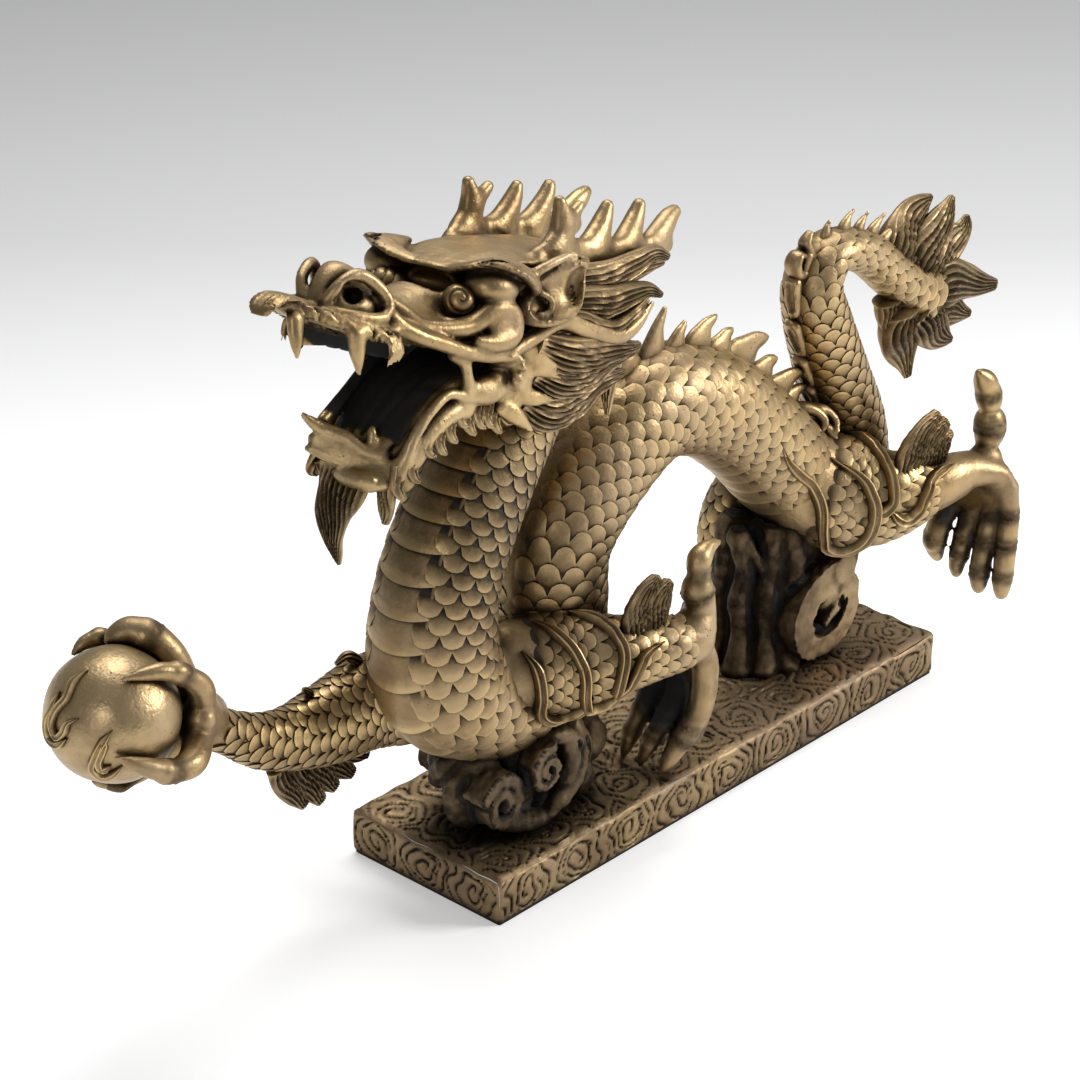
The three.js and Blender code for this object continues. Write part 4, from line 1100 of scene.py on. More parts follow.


def pearl():
    """The flaming pearl: a smooth ball with S-shaped flame ribbons, standing on a pad painted dark as the shade
    beneath it.
    """
    mesh = Mesh()
    centre = PEARL_CENTRE
    wax = Field(centre - 60, centre + 60, 2.4)
    wax.ball(centre, PEARL_RADIUS, 0)
    pole = 0.0005
    polar, turn = np.meshgrid(
        np.linspace(pole, math.pi - pole, 66), np.linspace(0, 2 * math.pi, 132, endpoint=False), indexing="ij"
    )
    way = np.stack([np.sin(polar) * np.cos(turn), np.sin(polar) * np.sin(turn), np.cos(polar)], -1)
    dent = 0.25 * wobble(*(way * 40).transpose(2, 0, 1), 30)
    mesh.grid(centre + way * (PEARL_RADIUS - 0.3 + dent)[..., None], 0.0, wrap=True)
    flames = (
        [(-12, 30), (-21, 22), (-25, 12), (-32, 4), (-35, -5), (-32, -13), (-27, -10), (-24, -4), (-17, -1)],
        [(-30, 16), (-34, 6), (-39, -3), (-38, -14), (-32, -18), (-25, -14)],
        [(5, -8), (-2, -17), (-7, -26), (-9.5, -33), (-4, -38.5), (3, -37), (10, -31)],
        [(1, -14), (-2, -22), (-5, -29), (-3, -33.5), (3, -31)],
    )
    for facing in (1, -1):
        for flame in flames:
            path = []
            for r, u in flame:
                c = math.sqrt(max(30.0, PEARL_RADIUS**2 - r * r - u * u))
                path.append(centre + facing * (r * PEARL_RIGHT + c * PEARL_NEAR) + u * PEARL_TOP)
            ribbon(mesh, wax, path, 3.4, 1.2, 50)
    pad = Field(centre + (-24, -24, -62), centre + (28, 24, -30), 1.6)
    pad.limb([(centre[0] - 5, centre[1], centre[2] - 49, 15, 6),
              (centre[0] + 12, centre[1] + 1, centre[2] - 48, 14, 6)], 2)
    pad.ball(centre, PEARL_RADIUS - 1.5, 1, carve=True)
    points, quads, _ = pad.surface()
    mesh.add(points, quads, PAD_PAINTED_SHADE)
    return mesh


# ---- crest and tail -------------------------------------------------------------------------------------


def crest(mesh):
    """Leaves on the nape and the arch, hollow plates up the tail column and small spikes on the tail."""

    def perch(run, lift=0.0):
        """A point on the crest's line, with the body's direction and its upright there."""
        k = int(np.interp(run, body_run, np.arange(len(body_run))))
        return body_at(run, 0.0, lift), body_tangent[k], body_dorsal[k]

    def leaf(left, right, tip, thick=6.0):
        """A shark-fin leaf standing between two feet, its hind edge hollowed, given as [x, z]."""
        left, right, tip = (vec(p[0], 0, p[1]) for p in (left, right, tip))
        middle, half = 0.5 * (left + right), 0.5 * np.linalg.norm(right - left)
        tailward = unit(right - left)
        rise = vec(-tailward[2], 0, tailward[0]) * np.sign(tailward[0])
        steep = max(0.0, -tailward[2])
        tip = middle + 1.08 * (tip - middle) + steep * (13 * rise - 4 * tailward)
        front = -tailward * half
        low, high = np.min([left, right, tip], 0) - 14, np.max([left, right, tip], 0) + 14
        wax = Field((low[0], -12, low[2]), (high[0], 12, high[2]), 1.5)
        rows = (
            (middle - 6 * rise, thick, 0.95 * half),
            (middle + 0.14 * (tip - middle), 0.9 * thick, 0.8 * half),
            (middle + 0.5 * (tip - middle) + 0.1 * front + 0.12 * half * rise, 0.64 * thick, 0.42 * half),
            (middle + 0.82 * (tip - middle) + 0.08 * half * rise, 0.46 * thick, 0.22 * half),
            (tip, 0.3 * thick, 1.7),
        )
        wax.limb([tuple(p) + (w, d) for p, w, d in rows], 1.5, steps=18)
        for side in (1, -1):
            hollow = [
                (middle + 0.1 * (tip - middle) - 0.35 * front, 0.9),
                (middle + 0.5 * (tip - middle) - 0.12 * front, 1.2),
                (middle + 0.85 * (tip - middle), 0.7),
            ]
            marks = zip(hollow, (0.92, 0.7, 0.42))
            wax.limb([tuple(p + (0, side * k * thick, 0)) + (r,) for (p, r), k in marks], 0.8, carve=True)
        add_wax(mesh, wax)

    for left, right, tip in (
        ((-52, 336), (-24, 345), (-27, 353)), ((-26, 343), (3, 336), (2, 366)), ((0, 339), (25, 326),
        (23, 346)),
        ((22, 337), (55, 327), (58, 342)), ((51, 329), (76, 309), (74, 322)), ((70, 320), (103, 288),
        (113, 302)),
        ((97, 294), (124, 268), (125, 281)), ((117, 275), (143, 248), (158, 260)), ((134, 258), (154, 238),
        (160, 247)),
    ):
        leaf(left, right, tip)

    def spike(run, height, length, lean):
        """A small leaf given by its place along the body."""
        base, t, up = perch(run)
        corners = [base - 0.5 * length * t, base + 0.5 * length * t, base + height * up + lean * t]
        leaf(*[(p[0], p[2]) for p in corners], 4.5)

    def run_near(x, z):
        return body_run[np.hypot(body_line[:, 0] - x, body_line[:, 2] - z).argmin()]

    for run, height, length, lean in ((24, 15, 18, 9), (46, 12, 16, 8)):
        spike(run, height, length, lean)
    tail = run_near(186, 352)
    for step, height, length, lean in (
        (4, 9, 15, 7), (18, 11, 16, 9), (34, 9, 13, 8), (50, 11, 15, 10), (67, 10, 15, 10), (83, 8, 14, 9),
        (98, 7, 12, 8),
    ):
        spike(tail + step, height, length, lean)
    for x, z, length in ((196, 250, 22), (186, 275, 25), (176, 304, 26), (168, 332, 24), (172, 346, 16)):
        base, t, up = perch(run_near(x, z), 1.0)
        wax = Field(base - 26, base + 26, 1.7)
        rows = [(-0.5, 5.5), (-0.3, 6.4), (0.2, 6.8), (0.5, 7.2)]
        plate = [tuple(base + t * (f * length) + up * (0.5 + 3.2 * f)) + (w, 5.5) for f, w in rows]
        dish = [tuple(base + t * (f * length * 0.74) + up * (8.0 + 3.2 * f)) + (0.66 * w, 5.2) for f, w in rows]
        wax.limb(plate, 2)
        wax.limb(dish, 1, carve=True)
        points, quads, shut = wax.surface()
        mesh.add(points, quads, np.clip(1.6 * shut, 0, 1))
    # The curls where the plates turn over on to the tail, and where the crest ends over the hip.
    curl = Field((118, -20, 336), (176, 20, 392), 1.7)
    curl.limb([(160, 0, 350, 7, 5), (151, 0, 351, 8, 4.6), (147, 0, 359, 8, 4), (151, 0, 366, 7, 3.4),
               (157, 0, 364, 6, 2.6)], 1.5)
    curl.limb([(168, 0, 356, 7, 5), (163, 0, 366, 7, 4.4), (160, 0, 373, 6, 3.4), (165, 0, 379, 4, 2.4)],
               1.5)
    hip = Field((130, -56, 196), (214, 24, 274), 1.8)
    hip.limb([(146, -2, 240, 6, 5.5), (154, -8, 243, 6, 5), (162, -15, 239, 5, 4), (165, -21, 232, 4, 3),
              (161, -23, 227, 2.4)], 2)
    hip.limb([(158, -8, 240, 6, 5), (170, -15, 238, 5, 4.4), (176, -22, 230, 4, 3), (173, -27, 223, 2.4)], 2)
    hip.limb([(168, -20, 226, 4), (172, -26, 216, 3.4), (168, -30, 210, 2.4)], 2)
    add_wax(mesh, curl)
    add_wax(mesh, hip)


def tail_fin(mesh):
    """Pointed grooved lobes fanned round the end of the tail."""
    lobes = (
        [(264, 0, 322, 14, 8), (276, 2, 334, 20, 10), (290, 4, 347, 18, 9), (305, 5, 356, 11, 7),
         (319, 4, 362, 2, 2)],
        [(284, 0, 308, 14, 8), (302, -1, 320, 19, 10), (318, -2, 334, 17, 9), (330, -2, 346, 11, 6),
         (339, -1, 357, 2.5, 2.5)],
        [(298, 0, 300, 11, 8), (322, 2, 308, 15, 8), (346, 3, 314, 13, 7), (360, 3, 322, 9, 5),
         (364, 2, 333, 2, 2)],
        [(308, 0, 290, 11, 8), (334, -2, 286, 15, 8), (358, -3, 280, 11, 6), (382, -2, 270, 7, 5),
         (404, 0, 262, 3.6, 3.4)],
        [(306, 0, 282, 11, 8), (330, 2, 268, 14, 8), (350, 3, 257, 11, 6), (364, 3, 250, 6, 4),
         (375, 2, 246, 2.4, 2.4)],
        [(298, 0, 276, 11, 8), (314, -1, 260, 14, 8), (328, -2, 246, 11, 6), (338, -2, 238, 6, 4),
         (348, -1, 233, 2, 2)],
        [(280, 0, 282, 14, 8), (284, 1, 262, 17, 8), (290, 2, 244, 14, 6), (294, 2, 229, 7, 4),
         (296, 1, 218, 3, 2.6)],
        [(264, 0, 294, 9, 6), (266, 0, 282, 9, 5), (270, 0, 270, 6, 4), (276, 0, 260, 2, 2)],
    )
    for i, rows in enumerate(lobes):
        direction = vec(*rows[-1][:3]) - vec(*rows[0][:3])
        wide = np.cross((0, 1, 0), unit(direction))
        swell = (1.9, 1.5, 1.0, 1.0, 1.0)
        rows = [r[:3] + ((1.42 if i > 1 else 1.2) * r[3], k * r[4]) for r, k in zip(rows, swell)]
        lock(mesh, rows, wide, 7, 0.2, 28, 72, 0.3 if i % 2 else -0.3)


# ---- plinth and its clouds ------------------------------------------------------------------------------


def cloud_relief(s, t, spirals, seed):
    """Height from 0 to 1 of cloud carving: spirals, with waves spreading between them."""
    s = s + 3.6 * wobble(s, t, 0, 26, seed)
    t = t + 3.6 * wobble(s, t, 9, 24, seed + 5)
    best = np.full(s.shape, 1e9)
    phase = np.zeros(s.shape)
    core = np.zeros(s.shape)
    for cs, ct, radius, hand, start in spirals:
        d = np.hypot(s - cs, t - ct)
        angle = np.arctan2(t - ct, s - cs)
        gap = d - radius
        inner = (1.7 * d / radius - hand * angle / (2 * math.pi) + start) % 1.0
        outer = (gap / 7.4) % 1.0
        closer = gap < best
        phase = np.where(closer, np.where(gap < 0, inner, outer), phase)
        core = np.where(closer, np.where(gap < 0, smoothstep(0.5, 2.5, d), 1.0), core)
        best = np.minimum(best, gap)
    ridge = np.clip(1.5 * np.sin(math.pi * phase) ** 0.7, 0, 1)
    return ridge * core + 0.9 * (1 - core)


def plinth_casting():
    mesh = Mesh()
    half_x, half_y, height = 0.5 * PLINTH_LENGTH - 1.2, 0.5 * PLINTH_WIDTH - 1.2, PLINTH_HEIGHT - 0.6
    round_ = 5.0
    share = round_ * (1 - math.sqrt(0.5))
    depth = 2.3

    def edge_noise(x, y):
        return 1.3 * wobble(x, y, 0, 26, 3) - 1.0

    spirals = []
    columns, lines = 11, 3
    for i in range(columns):
        for j in range(lines):
            x = -half_x + (i + 0.5 + 0.25 * (j % 2)) * 2 * half_x / columns + rng.uniform(-4, 4)
            y = -half_y + (j + 0.5) * 2 * half_y / lines + rng.uniform(-4, 4)
            spirals.append((x, y, rng.uniform(11, 15), rng.choice((-1, 1)), rng.uniform(0, 1)))
    x, y = np.meshgrid(
        np.linspace(-half_x + share, half_x - share, 250), np.linspace(-half_y + share, half_y - share, 78),
        indexing="ij"
    )
    edge = np.minimum(half_x - np.abs(x), half_y - np.abs(y))
    carve = cloud_relief(x, y, spirals, 0)
    inner = smoothstep(share, share + 5, edge)
    top = height - round_ + np.sqrt(np.maximum(0, round_**2 - np.maximum(0, round_ - edge) ** 2))
    z = top - depth * (1 - carve) * inner
    z = z + 0.7 * wobble(x, y, 0, 60) * inner + edge_noise(x, y) * 0.7 * (1 - inner)
    points = np.stack([x, y, z], -1)
    mesh.grid(points, 0.85 * (1 - carve) * inner)
    for along_x in (True, False):
        length = (half_x if along_x else half_y) - share
        count = 9 if along_x else 3
        for side in (-1, 1):
            around = []
            for k in range(count):
                s = -length + (k + 0.5) * 2 * length / count + rng.uniform(-2.5, 2.5)
                t = 19.5 + rng.uniform(-2, 2)
                around.append((s, t, rng.uniform(12, 14.5), rng.choice((-1, 1)), rng.uniform(0, 1)))
            s, z = np.meshgrid(
                np.linspace(-length, length, 300 if along_x else 92), np.linspace(0, height - share, 27),
                indexing="ij"
            )
            carve = cloud_relief(s, z, around, 7 if side > 0 else 11)
            inner = smoothstep(share, share + 4, height - z) * smoothstep(3.2, 5.0, z)
            inner = inner * smoothstep(0, 4, length - np.abs(s))
            fall = np.maximum(0, round_ - (height - z))
            inset = round_ - np.sqrt(np.maximum(0, round_**2 - fall**2))
            foot = 1.8 * (1 - smoothstep(2.2, 3.6, z))
            edge = (half_y if along_x else half_x) - inset - depth * (1 - carve) * inner - foot
            corner = np.maximum(0, round_ - (length + share - np.abs(s)))
            edge = edge - (round_ - np.sqrt(np.maximum(0, round_**2 - corner**2))) * 0.9
            edge = edge + 0.8 * wobble(s, z, 0, 50, 4) * smoothstep(0, 8, z)
            points = np.stack([s, side * edge, z] if along_x else [side * edge, s, z], -1)
            lift = edge_noise(points[..., 0],
            points[..., 1]) * 0.7 * smoothstep(height - 8, height - share, z)
            points[..., 2] += lift
            if (side > 0) == along_x:
                points = points[::-1]
                carve, inner, z = carve[::-1], inner[::-1], z[::-1]
            dark = np.maximum(0.85 * (1 - carve) * inner, 1 - smoothstep(2.0, 4.0, z))
            mesh.grid(points, dark)
    return mesh


def scroll(wax, centre, radii, start, turns, hand, half_y, band):
    """A flat spiral band of cloud in a plane facing the side."""
    rows = []
    for t in np.linspace(0, 1, int(9 * turns) + 2):
        a = start + hand * 2 * math.pi * turns * t
        k = 1 - 0.78 * t
        x, z = centre[0] + radii[0] * k * math.cos(a), centre[2] + radii[1] * k * math.sin(a)
        rows.append((x, centre[1] - 3 * t, z, half_y * (1 - 0.25 * t), band * (1 - 0.35 * t)))
    wax.limb(rows, 2.0, steps=int(14 * turns), flat=True)


def supports():
    """Rugged cloud stacks under the chest and the hip."""
    mesh = Mesh()
    front = Field((-246, -66, 30), (-78, 66, 128), 2.1)
    front.limb([(-162, 2, 34, 34, 38), (-165, 0, 66, 27, 33), (-168, 0, 98, 28, 38)], 4)
    front.ball((-212, -4, 92), (22, 28, 24), 5)
    front.ball((-214, -14, 74), (26, 14, 30), 3)
    front.ball((-188, -20, 60), (26, 18, 24), 4)
    scroll(front, (-213, -36, 72), (20, 22), 2.6, 1.6, -1, 10, 5.6)
    front.ball((-176, -26, 90), (17, 12, 18), 2)
    scroll(front, (-174, -44, 86), (15, 17), 1.2, 1.5, 1, 9, 4.6)
    front.limb([(-160, -36, 104, 12, 7), (-150, -38, 102, 12, 8), (-140, -40, 92, 12, 9)], 2)
    front.limb([(-134, -36, 100, 9, 9), (-130, -40, 84, 9, 10), (-140, -44, 68, 9, 10),
                (-156, -46, 56, 8, 8), (-168, -46, 47, 6, 5)], 2)
    front.limb([(-148, -40, 98, 8, 7), (-144, -44, 84, 9, 8), (-152, -46, 70, 8, 7)], 1.5)
    front.limb([(-141, -49, 94, 3, 1.6), (-137, -53, 82, 4, 1.8), (-145, -56, 68, 3, 1.6)], 0.8, carve=True)
    front.limb([(-128, -46, 92, 3, 1.2), (-127, -50, 80, 4, 1.4), (-137, -54, 64, 3, 1.2)], 0.8, carve=True)
    front.ball((-107, -26, 74), (18, 13, 19), 3)
    front.ball((-126, -32, 54), (16, 13, 17), 3)
    front.limb([(-206, -38, 54, 8, 8), (-190, -42, 48, 9, 8), (-172, -42, 44, 8, 7)], 3)
    for k in range(4):
        odd = k % 2
        centre = (-200 + 26 * k, 28 + 4 * odd, 84 - 9 * odd)
        scroll(front, centre, (17, 18), 1.1 * k, 1.3, 1 if odd else -1, 13, 5)
    front.limb([(-226, -16, 116, 5, 4), (-234, -6, 98, 7, 6), (-226, 8, 78, 8, 6)], 2)
    rear = Field((62, -54, 30), (236, 64, 160), 2.15)
    rear.limb([(144, 10, 34, 36, 44), (148, 8, 70, 30, 38), (156, 8, 110, 30, 36), (164, 4, 150, 32, 38)], 4)
    rear.limb([(110, 24, 34, 18, 18), (110, 24, 80, 14, 14), (114, 20, 145, 18, 16)], 5)
    flutes = ((99, 2, -4, 9), (113, -12, 4, 9), (131, -20, -3, 9), (148, -14, 5, 8), (122, -4, 2, 12))
    for x0, y0, lean, r in flutes:
        rear.limb([(x0 + lean, y0, 152, r, r), (x0 + 2, y0 - 3, 124, 0.8 * r, r),
                   (x0 - 2, y0, 96, 0.9 * r, r), (x0 + 2, y0, 70, 0.8 * r, r),
                   (x0 - 6, y0 - 3, 38, 1.3 * r, 1.3 * r)], 5)
    rear.limb([(98, -6, 148, 4), (106, -14, 126, 3.4), (115, -8, 148, 4)], 2)
    for k in range(9):
        x0, z0 = 98 + 10 * (k % 5), 128 - 9 * k
        rear.ball((x0, -24 - 3 * (k % 2), z0), (4, 7, 9 + 3 * (k % 3)), 4, carve=True)
    rear.limb([(206, -8, 146, 16, 18), (192, -14, 126, 16, 17), (172, -20, 108, 16, 18),
               (160, -24, 92, 16, 20)], 4)
    ring = [(180, 108), (160, 106), (141, 96), (131, 78), (137, 58), (152, 50), (170, 52), (184, 62),
            (191, 78), (188, 93), (176, 100)]
    bands = (12, 12, 13, 12, 11, 9, 8.5, 8, 8, 8, 6)
    rear.limb([(x0 - 4, -22, z0, 17, w0) for (x0, z0), w0 in zip(ring, bands)], 1.5, steps=44, flat=True)
    rear.limb([(196, -16, 140, 16, 13), (188, -20, 122, 16, 13), (174, -22, 108, 17, 12)], 3, flat=True)
    rear.limb([(184, -24, 96, 14, 4), (176, -25, 90, 14, 5), (170, -26, 80, 13, 5), (163, -26, 72, 12, 4),
               (158, -26, 66, 11, 2.6)], 1.5, flat=True)
    rear.ball((172, -40, 82), (3, 6, 5), 1, carve=True)
    for wax in (front, rear):
        points, quads, shut = wax.surface()
        keep = points[quads[:, 0], 2] > PLINTH_HEIGHT - 5
        rough = wobble(*points.T, 9, 3)
        points = points + wax.slope(points) * (0.7 * rough)[:, None]
        # The supports are painted darker all over as the shade under the body, on top of patina in their folds;
        # the rear scroll's outer face is painted lighter as a highlight.
        scroll_painted_highlight = np.exp(-(((points - np.array((168, -42, 80))) / np.array((44, 14, 50))) ** 2).sum(-1))
        mesh.add(points, quads[keep], 0.42 + 1.2 * shut + 0.06 * rough - 0.7 * scroll_painted_highlight)
    return mesh


# ---- metal ------------------------------------------------------------------------------------------


def aged_brass_with_painted_shade(name, bright, dull, patina_and_shade_colour, rough, patina_and_shade_depth):
    """Cast brass: gold lightened on high places as rubbed wear and painted highlight, brown patina in the
    recesses with painted shade under and between parts and near black in the deepest, stains and small casting
    pits.
    """
    material = bpy.data.materials.new(name)
    material.use_nodes = True
    tree = material.node_tree
    nodes, links = tree.nodes, tree.links
    shader = nodes["Principled BSDF"]

    def node(kind, **values):
        made = nodes.new(kind)
        for key, value in values.items():
            if hasattr(made, key):
                setattr(made, key, value)
            else:
                made.inputs[key.replace("_", " ")].default_value = value
        return made

    where = node("ShaderNodeTexCoord").outputs["Object"]

    def noise(scale, detail, rough_=0.55):
        made = node("ShaderNodeTexNoise", Scale=scale, Detail=detail, Roughness=rough_)
        links.new(where, made.inputs["Vector"])
        return made.outputs["Fac"]

    def math_(operation, a, b):
        made = node("ShaderNodeMath", operation=operation)
        for socket, value in zip(made.inputs, (a, b)):
            if isinstance(value, (int, float)):
                socket.default_value = value
            else:
                links.new(value, socket)
        return made.outputs[0]

    def span(value, low, high, to_low=0.0, to_high=1.0):
        made = node("ShaderNodeMapRange", clamp=True)
        links.new(value, made.inputs["Value"])
        for key, number in zip(("From Min", "From Max", "To Min", "To Max"), (low, high, to_low, to_high)):
            made.inputs[key].default_value = number
        return made.outputs["Result"]

    def mix(factor, a, b):
        made = node("ShaderNodeMix", data_type="RGBA")
        links.new(factor, made.inputs["Factor"])
        for key, value in (("A", a), ("B", b)):
            socket = [s for s in made.inputs if s.name == key and s.type == "RGBA"][0]
            if isinstance(value, tuple):
                socket.default_value = (*value, 1.0)
            else:
                links.new(value, socket)
        return [o for o in made.outputs if o.type == "RGBA"][0]

    broad = noise(14.0, 4.0)
    middle = noise(70.0, 4.0, 0.6)
    fine = noise(520.0, 3.0, 0.65)
    cavity = node("ShaderNodeAttribute", attribute_name="cavity").outputs["Fac"]
    shut = node("ShaderNodeAmbientOcclusion", samples=4, Distance=0.010)
    closed = math_("SUBTRACT", 1.0, shut.outputs["AO"])
    # Wide occlusion paints shade under and between parts.
    wide = node("ShaderNodeAmbientOcclusion", samples=4, Distance=0.075)
    painted_shade = span(wide.outputs["AO"], 0.10, 0.60, 0.85 * patina_and_shade_depth, 0.0)
    open_sky = span(wide.outputs["AO"], 0.55, 0.85)
    dust = math_("MULTIPLY", open_sky, span(noise(11.0, 5.0, 0.65), 0.38, 0.66, 0.10, 0.62))
    # Values from 1 up are painted near black and dull as deep shade.
    painted_black_shade = span(cavity, 1.0, 1.45)
    # Negative values and sharp convex edges are painted lighter as rubbed wear and painted highlight.
    rim = span(cavity, -0.55, -0.1, 1.0, 0.0)
    edge = span(node("ShaderNodeNewGeometry").outputs["Pointiness"], 0.5, 0.6)

    base = mix(span(broad, 0.35, 0.65), bright, dull)
    base = mix(span(middle, 0.5, 0.72, 0.0, 0.55), base, tuple(0.55 * c for c in dull))
    pits = node("ShaderNodeTexVoronoi", Scale=210.0)
    links.new(where, pits.inputs["Vector"])
    rare = span(noise(45.0, 2.0), 0.52, 0.6)
    hole = math_("MULTIPLY", span(pits.outputs["Distance"], 0.05, 0.16, 1.0, 0.0), rare)
    # Patina in recesses, together with the painted shade carried by the value.
    patina_and_shade_mix = math_("ADD", math_("MULTIPLY", cavity, 0.85 * patina_and_shade_depth), math_("MULTIPLY", closed, 1.25 * patina_and_shade_depth))
    patina_and_shade_mix = math_("MULTIPLY", patina_and_shade_mix, span(middle, 0.3, 0.6, 0.75, 1.15))
    patina_and_shade_mix = math_("MAXIMUM", math_("MINIMUM", patina_and_shade_mix, 0.96), math_("MULTIPLY", hole, 0.8))
    stain = span(noise(24.0, 5.0, 0.7), 0.50, 0.72, 0.0, 0.5)
    base = mix(stain, base, (0.23, 0.115, 0.055))
    # The lighter gold of rubbed wear and painted highlight.
    rubbed_and_highlit = tuple(min(1.0, 1.3 * c) for c in bright)
    base = mix(math_("MAXIMUM", math_("MULTIPLY", edge, 0.45), rim), base, rubbed_and_highlit)
    base = mix(dust, base, (0.36, 0.265, 0.165))
    # Patina and painted shade are mixed in with one dark colour.
    base = mix(math_("MAXIMUM", patina_and_shade_mix, painted_shade), base, patina_and_shade_colour)
    base = mix(painted_black_shade, base, (0.006, 0.005, 0.005))
    bare = math_("SUBTRACT", 1.0, math_("MULTIPLY", dust, 0.55))
    links.new(math_("MULTIPLY", bare, math_("SUBTRACT", 1.0, painted_black_shade)), shader.inputs["Metallic"])
    links.new(base, shader.inputs["Base Color"])
    gloss = math_("ADD", span(middle, 0.3, 0.7, rough - 0.07, rough + 0.09), math_("MULTIPLY", patina_and_shade_mix, 0.22))
    gloss = math_("MAXIMUM", math_("ADD", gloss, math_("MULTIPLY", dust, 0.16)), math_("MULTIPLY", painted_black_shade, 0.9))
    links.new(gloss, shader.inputs["Roughness"])
    height = math_("ADD", math_("MULTIPLY", fine, 0.35), middle)
    height = math_("SUBTRACT", height, math_("MULTIPLY", hole, 1.6))
    height = math_("ADD", height, math_("MULTIPLY", noise(130.0, 2.0), 1.4))
    bump = node("ShaderNodeBump", Strength=0.42, Distance=0.0009)
    links.new(height, bump.inputs["Height"])
    links.new(bump.outputs["Normal"], shader.inputs["Normal"])
    return material


# Name, bright and dull brass, the colour of patina and painted shade, roughness, and how strongly patina and
# painted shade darken it.
dragon_brass = aged_brass_with_painted_shade(
    "dragon_brass", (0.47, 0.335, 0.155), (0.31, 0.205, 0.095), (0.030, 0.019, 0.010), 0.38, 1.0
)
# The pearl's brass is painted lighter, as painted light.
pearl_brass = aged_brass_with_painted_shade("pearl_brass", (0.60, 0.44, 0.21), (0.42, 0.29, 0.13),
(0.05, 0.03, 0.014), 0.30, 0.9)
# The plinth's brass is painted darker, with deeper patina and painted shade.
plinth_brass = aged_brass_with_painted_shade(
    "plinth_brass", (0.40, 0.285, 0.14), (0.20, 0.13, 0.07), (0.022, 0.015, 0.010), 0.48, 1.5
)

body_scales().piece("body_scales", dragon_brass, "dragon_brass", "dragon")
body_core().piece("body_core", dragon_brass, "dragon_brass", "dragon")
belly_plates().piece("belly_plates", dragon_brass, "dragon_brass", "dragon")
head().piece("head", dragon_brass, "dragon_brass", "dragon")
mane().piece("mane", dragon_brass, "dragon_brass", "dragon")
tufts = Mesh()
for name, make in (
    ("left_foreleg", left_foreleg), ("left_hind_leg", left_hind_leg),
    ("right_foreleg", right_foreleg), ("right_hind_leg", right_hind_leg),
):
    leg = Mesh()
    make(leg, tufts)
    leg.piece(name, dragon_brass, "dragon_brass", "dragon")
crest(tufts)
tail_fin(tufts)
tufts.piece("crest_and_tufts", dragon_brass, "dragon_brass", "dragon")
pearl().piece("flaming_pearl", pearl_brass, "pearl_brass", "pearl")
plinth_casting().piece("plinth_slab", plinth_brass, "plinth_brass", "plinth")
supports().piece("cloud_supports", plinth_brass, "plinth_brass", "plinth")

# ---- floor, light and camera ---------------------------------------------------------------------


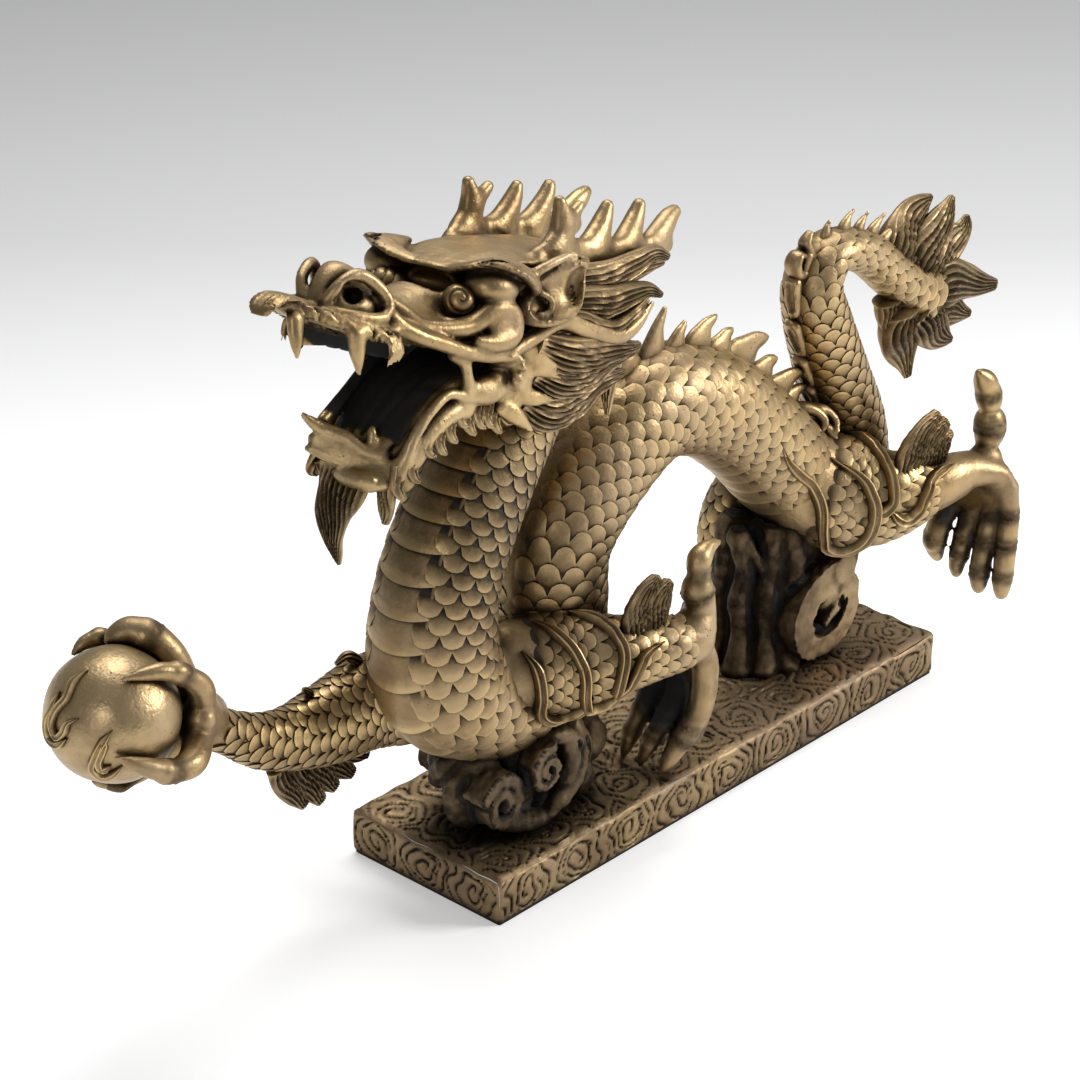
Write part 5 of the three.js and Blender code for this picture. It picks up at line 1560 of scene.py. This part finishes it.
def stage():
    """A sweep, white in front: flat floor curving up into a pale wall well behind the work. Its colour is
    painted from near white to grey along the camera's heading as painted shade, and it glows faintly as painted
    light.
    """
    size = cad_box[1][0] - cad_box[0][0]
    mesh = Mesh()
    back = vec(0.73, 0.68, 0)
    side = vec(0.68, -0.73, 0)
    bend = np.linspace(0, 1.45, 12)
    profile = [(-9, 0.0)] + [(3.2 + 1.6 * math.sin(a), 1.6 - 1.6 * math.cos(a)) for a in bend]
    profile.append((5.2, 9.0))
    rows = [[(back * u + side * v + vec(0, 0, w)) * size / UNIT for v in (-12, 12)] for u, w in profile]
    mesh.grid(np.array(rows))
    points = np.concatenate(mesh.points) * UNIT
    data = bpy.data.meshes.new("floor")
    data.from_pydata(
        [tuple(p) for p in points], [], [tuple(int(i) for i in f) for f in np.concatenate(mesh.faces)],
    )
    for polygon in data.polygons:
        polygon.use_smooth = True
    floor = bpy.data.objects.new("floor", data)
    bpy.context.scene.collection.objects.link(floor)
    material = bpy.data.materials.new("floor")
    material.use_nodes = True
    nodes, links = material.node_tree.nodes, material.node_tree.links
    shader = nodes["Principled BSDF"]
    # Painted shade: the colour falls from 0.90 grey in front to 0.39 further along the camera's heading.
    place = nodes.new("ShaderNodeTexCoord")
    split = nodes.new("ShaderNodeVectorMath")
    split.operation = "DOT_PRODUCT"
    split.inputs[1].default_value = (0.733, 0.680, 0)
    painted_shade_ramp = nodes.new("ShaderNodeValToRGB")
    span = nodes.new("ShaderNodeMapRange")
    for key, number in (("From Min", 0.2), ("From Max", 2.0)):
        span.inputs[key].default_value = number
    for at, grey in ((0.0, 0.90), (0.2, 0.70), (0.45, 0.50), (0.7, 0.44), (0.87, 0.41), (1.0, 0.39)):
        stop = painted_shade_ramp.color_ramp.elements[0] if at == 0 else painted_shade_ramp.color_ramp.elements.new(at)
        stop.color = (grey, grey, grey, 1)
    links.new(place.outputs["Object"], split.inputs[0])
    links.new(split.outputs["Value"], span.inputs["Value"])
    links.new(span.outputs["Result"], painted_shade_ramp.inputs["Fac"])
    links.new(painted_shade_ramp.outputs["Color"], shader.inputs["Base Color"])
    # Painted light: the floor glows with its own colour.
    links.new(painted_shade_ramp.outputs["Color"], shader.inputs["Emission Color"])
    shader.inputs["Emission Strength"].default_value = 0.38
    shader.inputs["Roughness"].default_value = 0.7
    shader.inputs["Specular IOR Level"].default_value = 0.2
    data.materials.append(material)


def softbox(name, place, aim, size, power):
    light = bpy.data.lights.new(name, "AREA")
    light.shape = "RECTANGLE"
    light.size, light.size_y = size
    light.energy = power
    lamp = bpy.data.objects.new(name, light)
    lamp.location = place
    lamp.rotation_euler = (Vector(aim) - Vector(place)).to_track_quat("-Z", "Y").to_euler()
    bpy.context.scene.collection.objects.link(lamp)


def lights():
    softbox("top", (0.5, 0.5, 2.1), (0, 0, 0.2), (1.6, 1.2), 35)
    softbox("right", (1.5, -1.7, 1.3), (0, 0, 0.2), (0.9, 0.9), 54)
    softbox("left", (-2.0, -0.8, 1.0), (0, 0, 0.25), (0.6, 1.0), 6)
    world = bpy.data.worlds.new("world")
    bpy.context.scene.world = world
    world.use_nodes = True
    world.node_tree.nodes["Background"].inputs["Color"].default_value = (0.9, 0.92, 0.95, 1)
    world.node_tree.nodes["Background"].inputs["Strength"].default_value = 0.20


def camera():
    """Stands at the photo's viewing angle: place, turn and lens are those fitted to the plinth's corners."""
    eye = vec(-1834.2, -1584.4, 1438.9) * UNIT
    yaw, pitch = math.radians(42.875), math.radians(-27.347)
    forward = Vector((math.cos(pitch) * math.cos(yaw), math.cos(pitch) * math.sin(yaw), math.sin(pitch)))
    data = bpy.data.cameras.new("camera")
    data.sensor_width = 36.0
    data.lens = 123.8
    data.clip_end = 60
    lens = bpy.data.objects.new("camera", data)
    lens.location = Vector(eye)
    lens.rotation_euler = forward.to_track_quat("-Z", "Y").to_euler()
    bpy.context.scene.collection.objects.link(lens)
    bpy.context.scene.camera = lens


stage()
lights()
camera()
bpy.context.scene.view_settings.view_transform = "Standard"
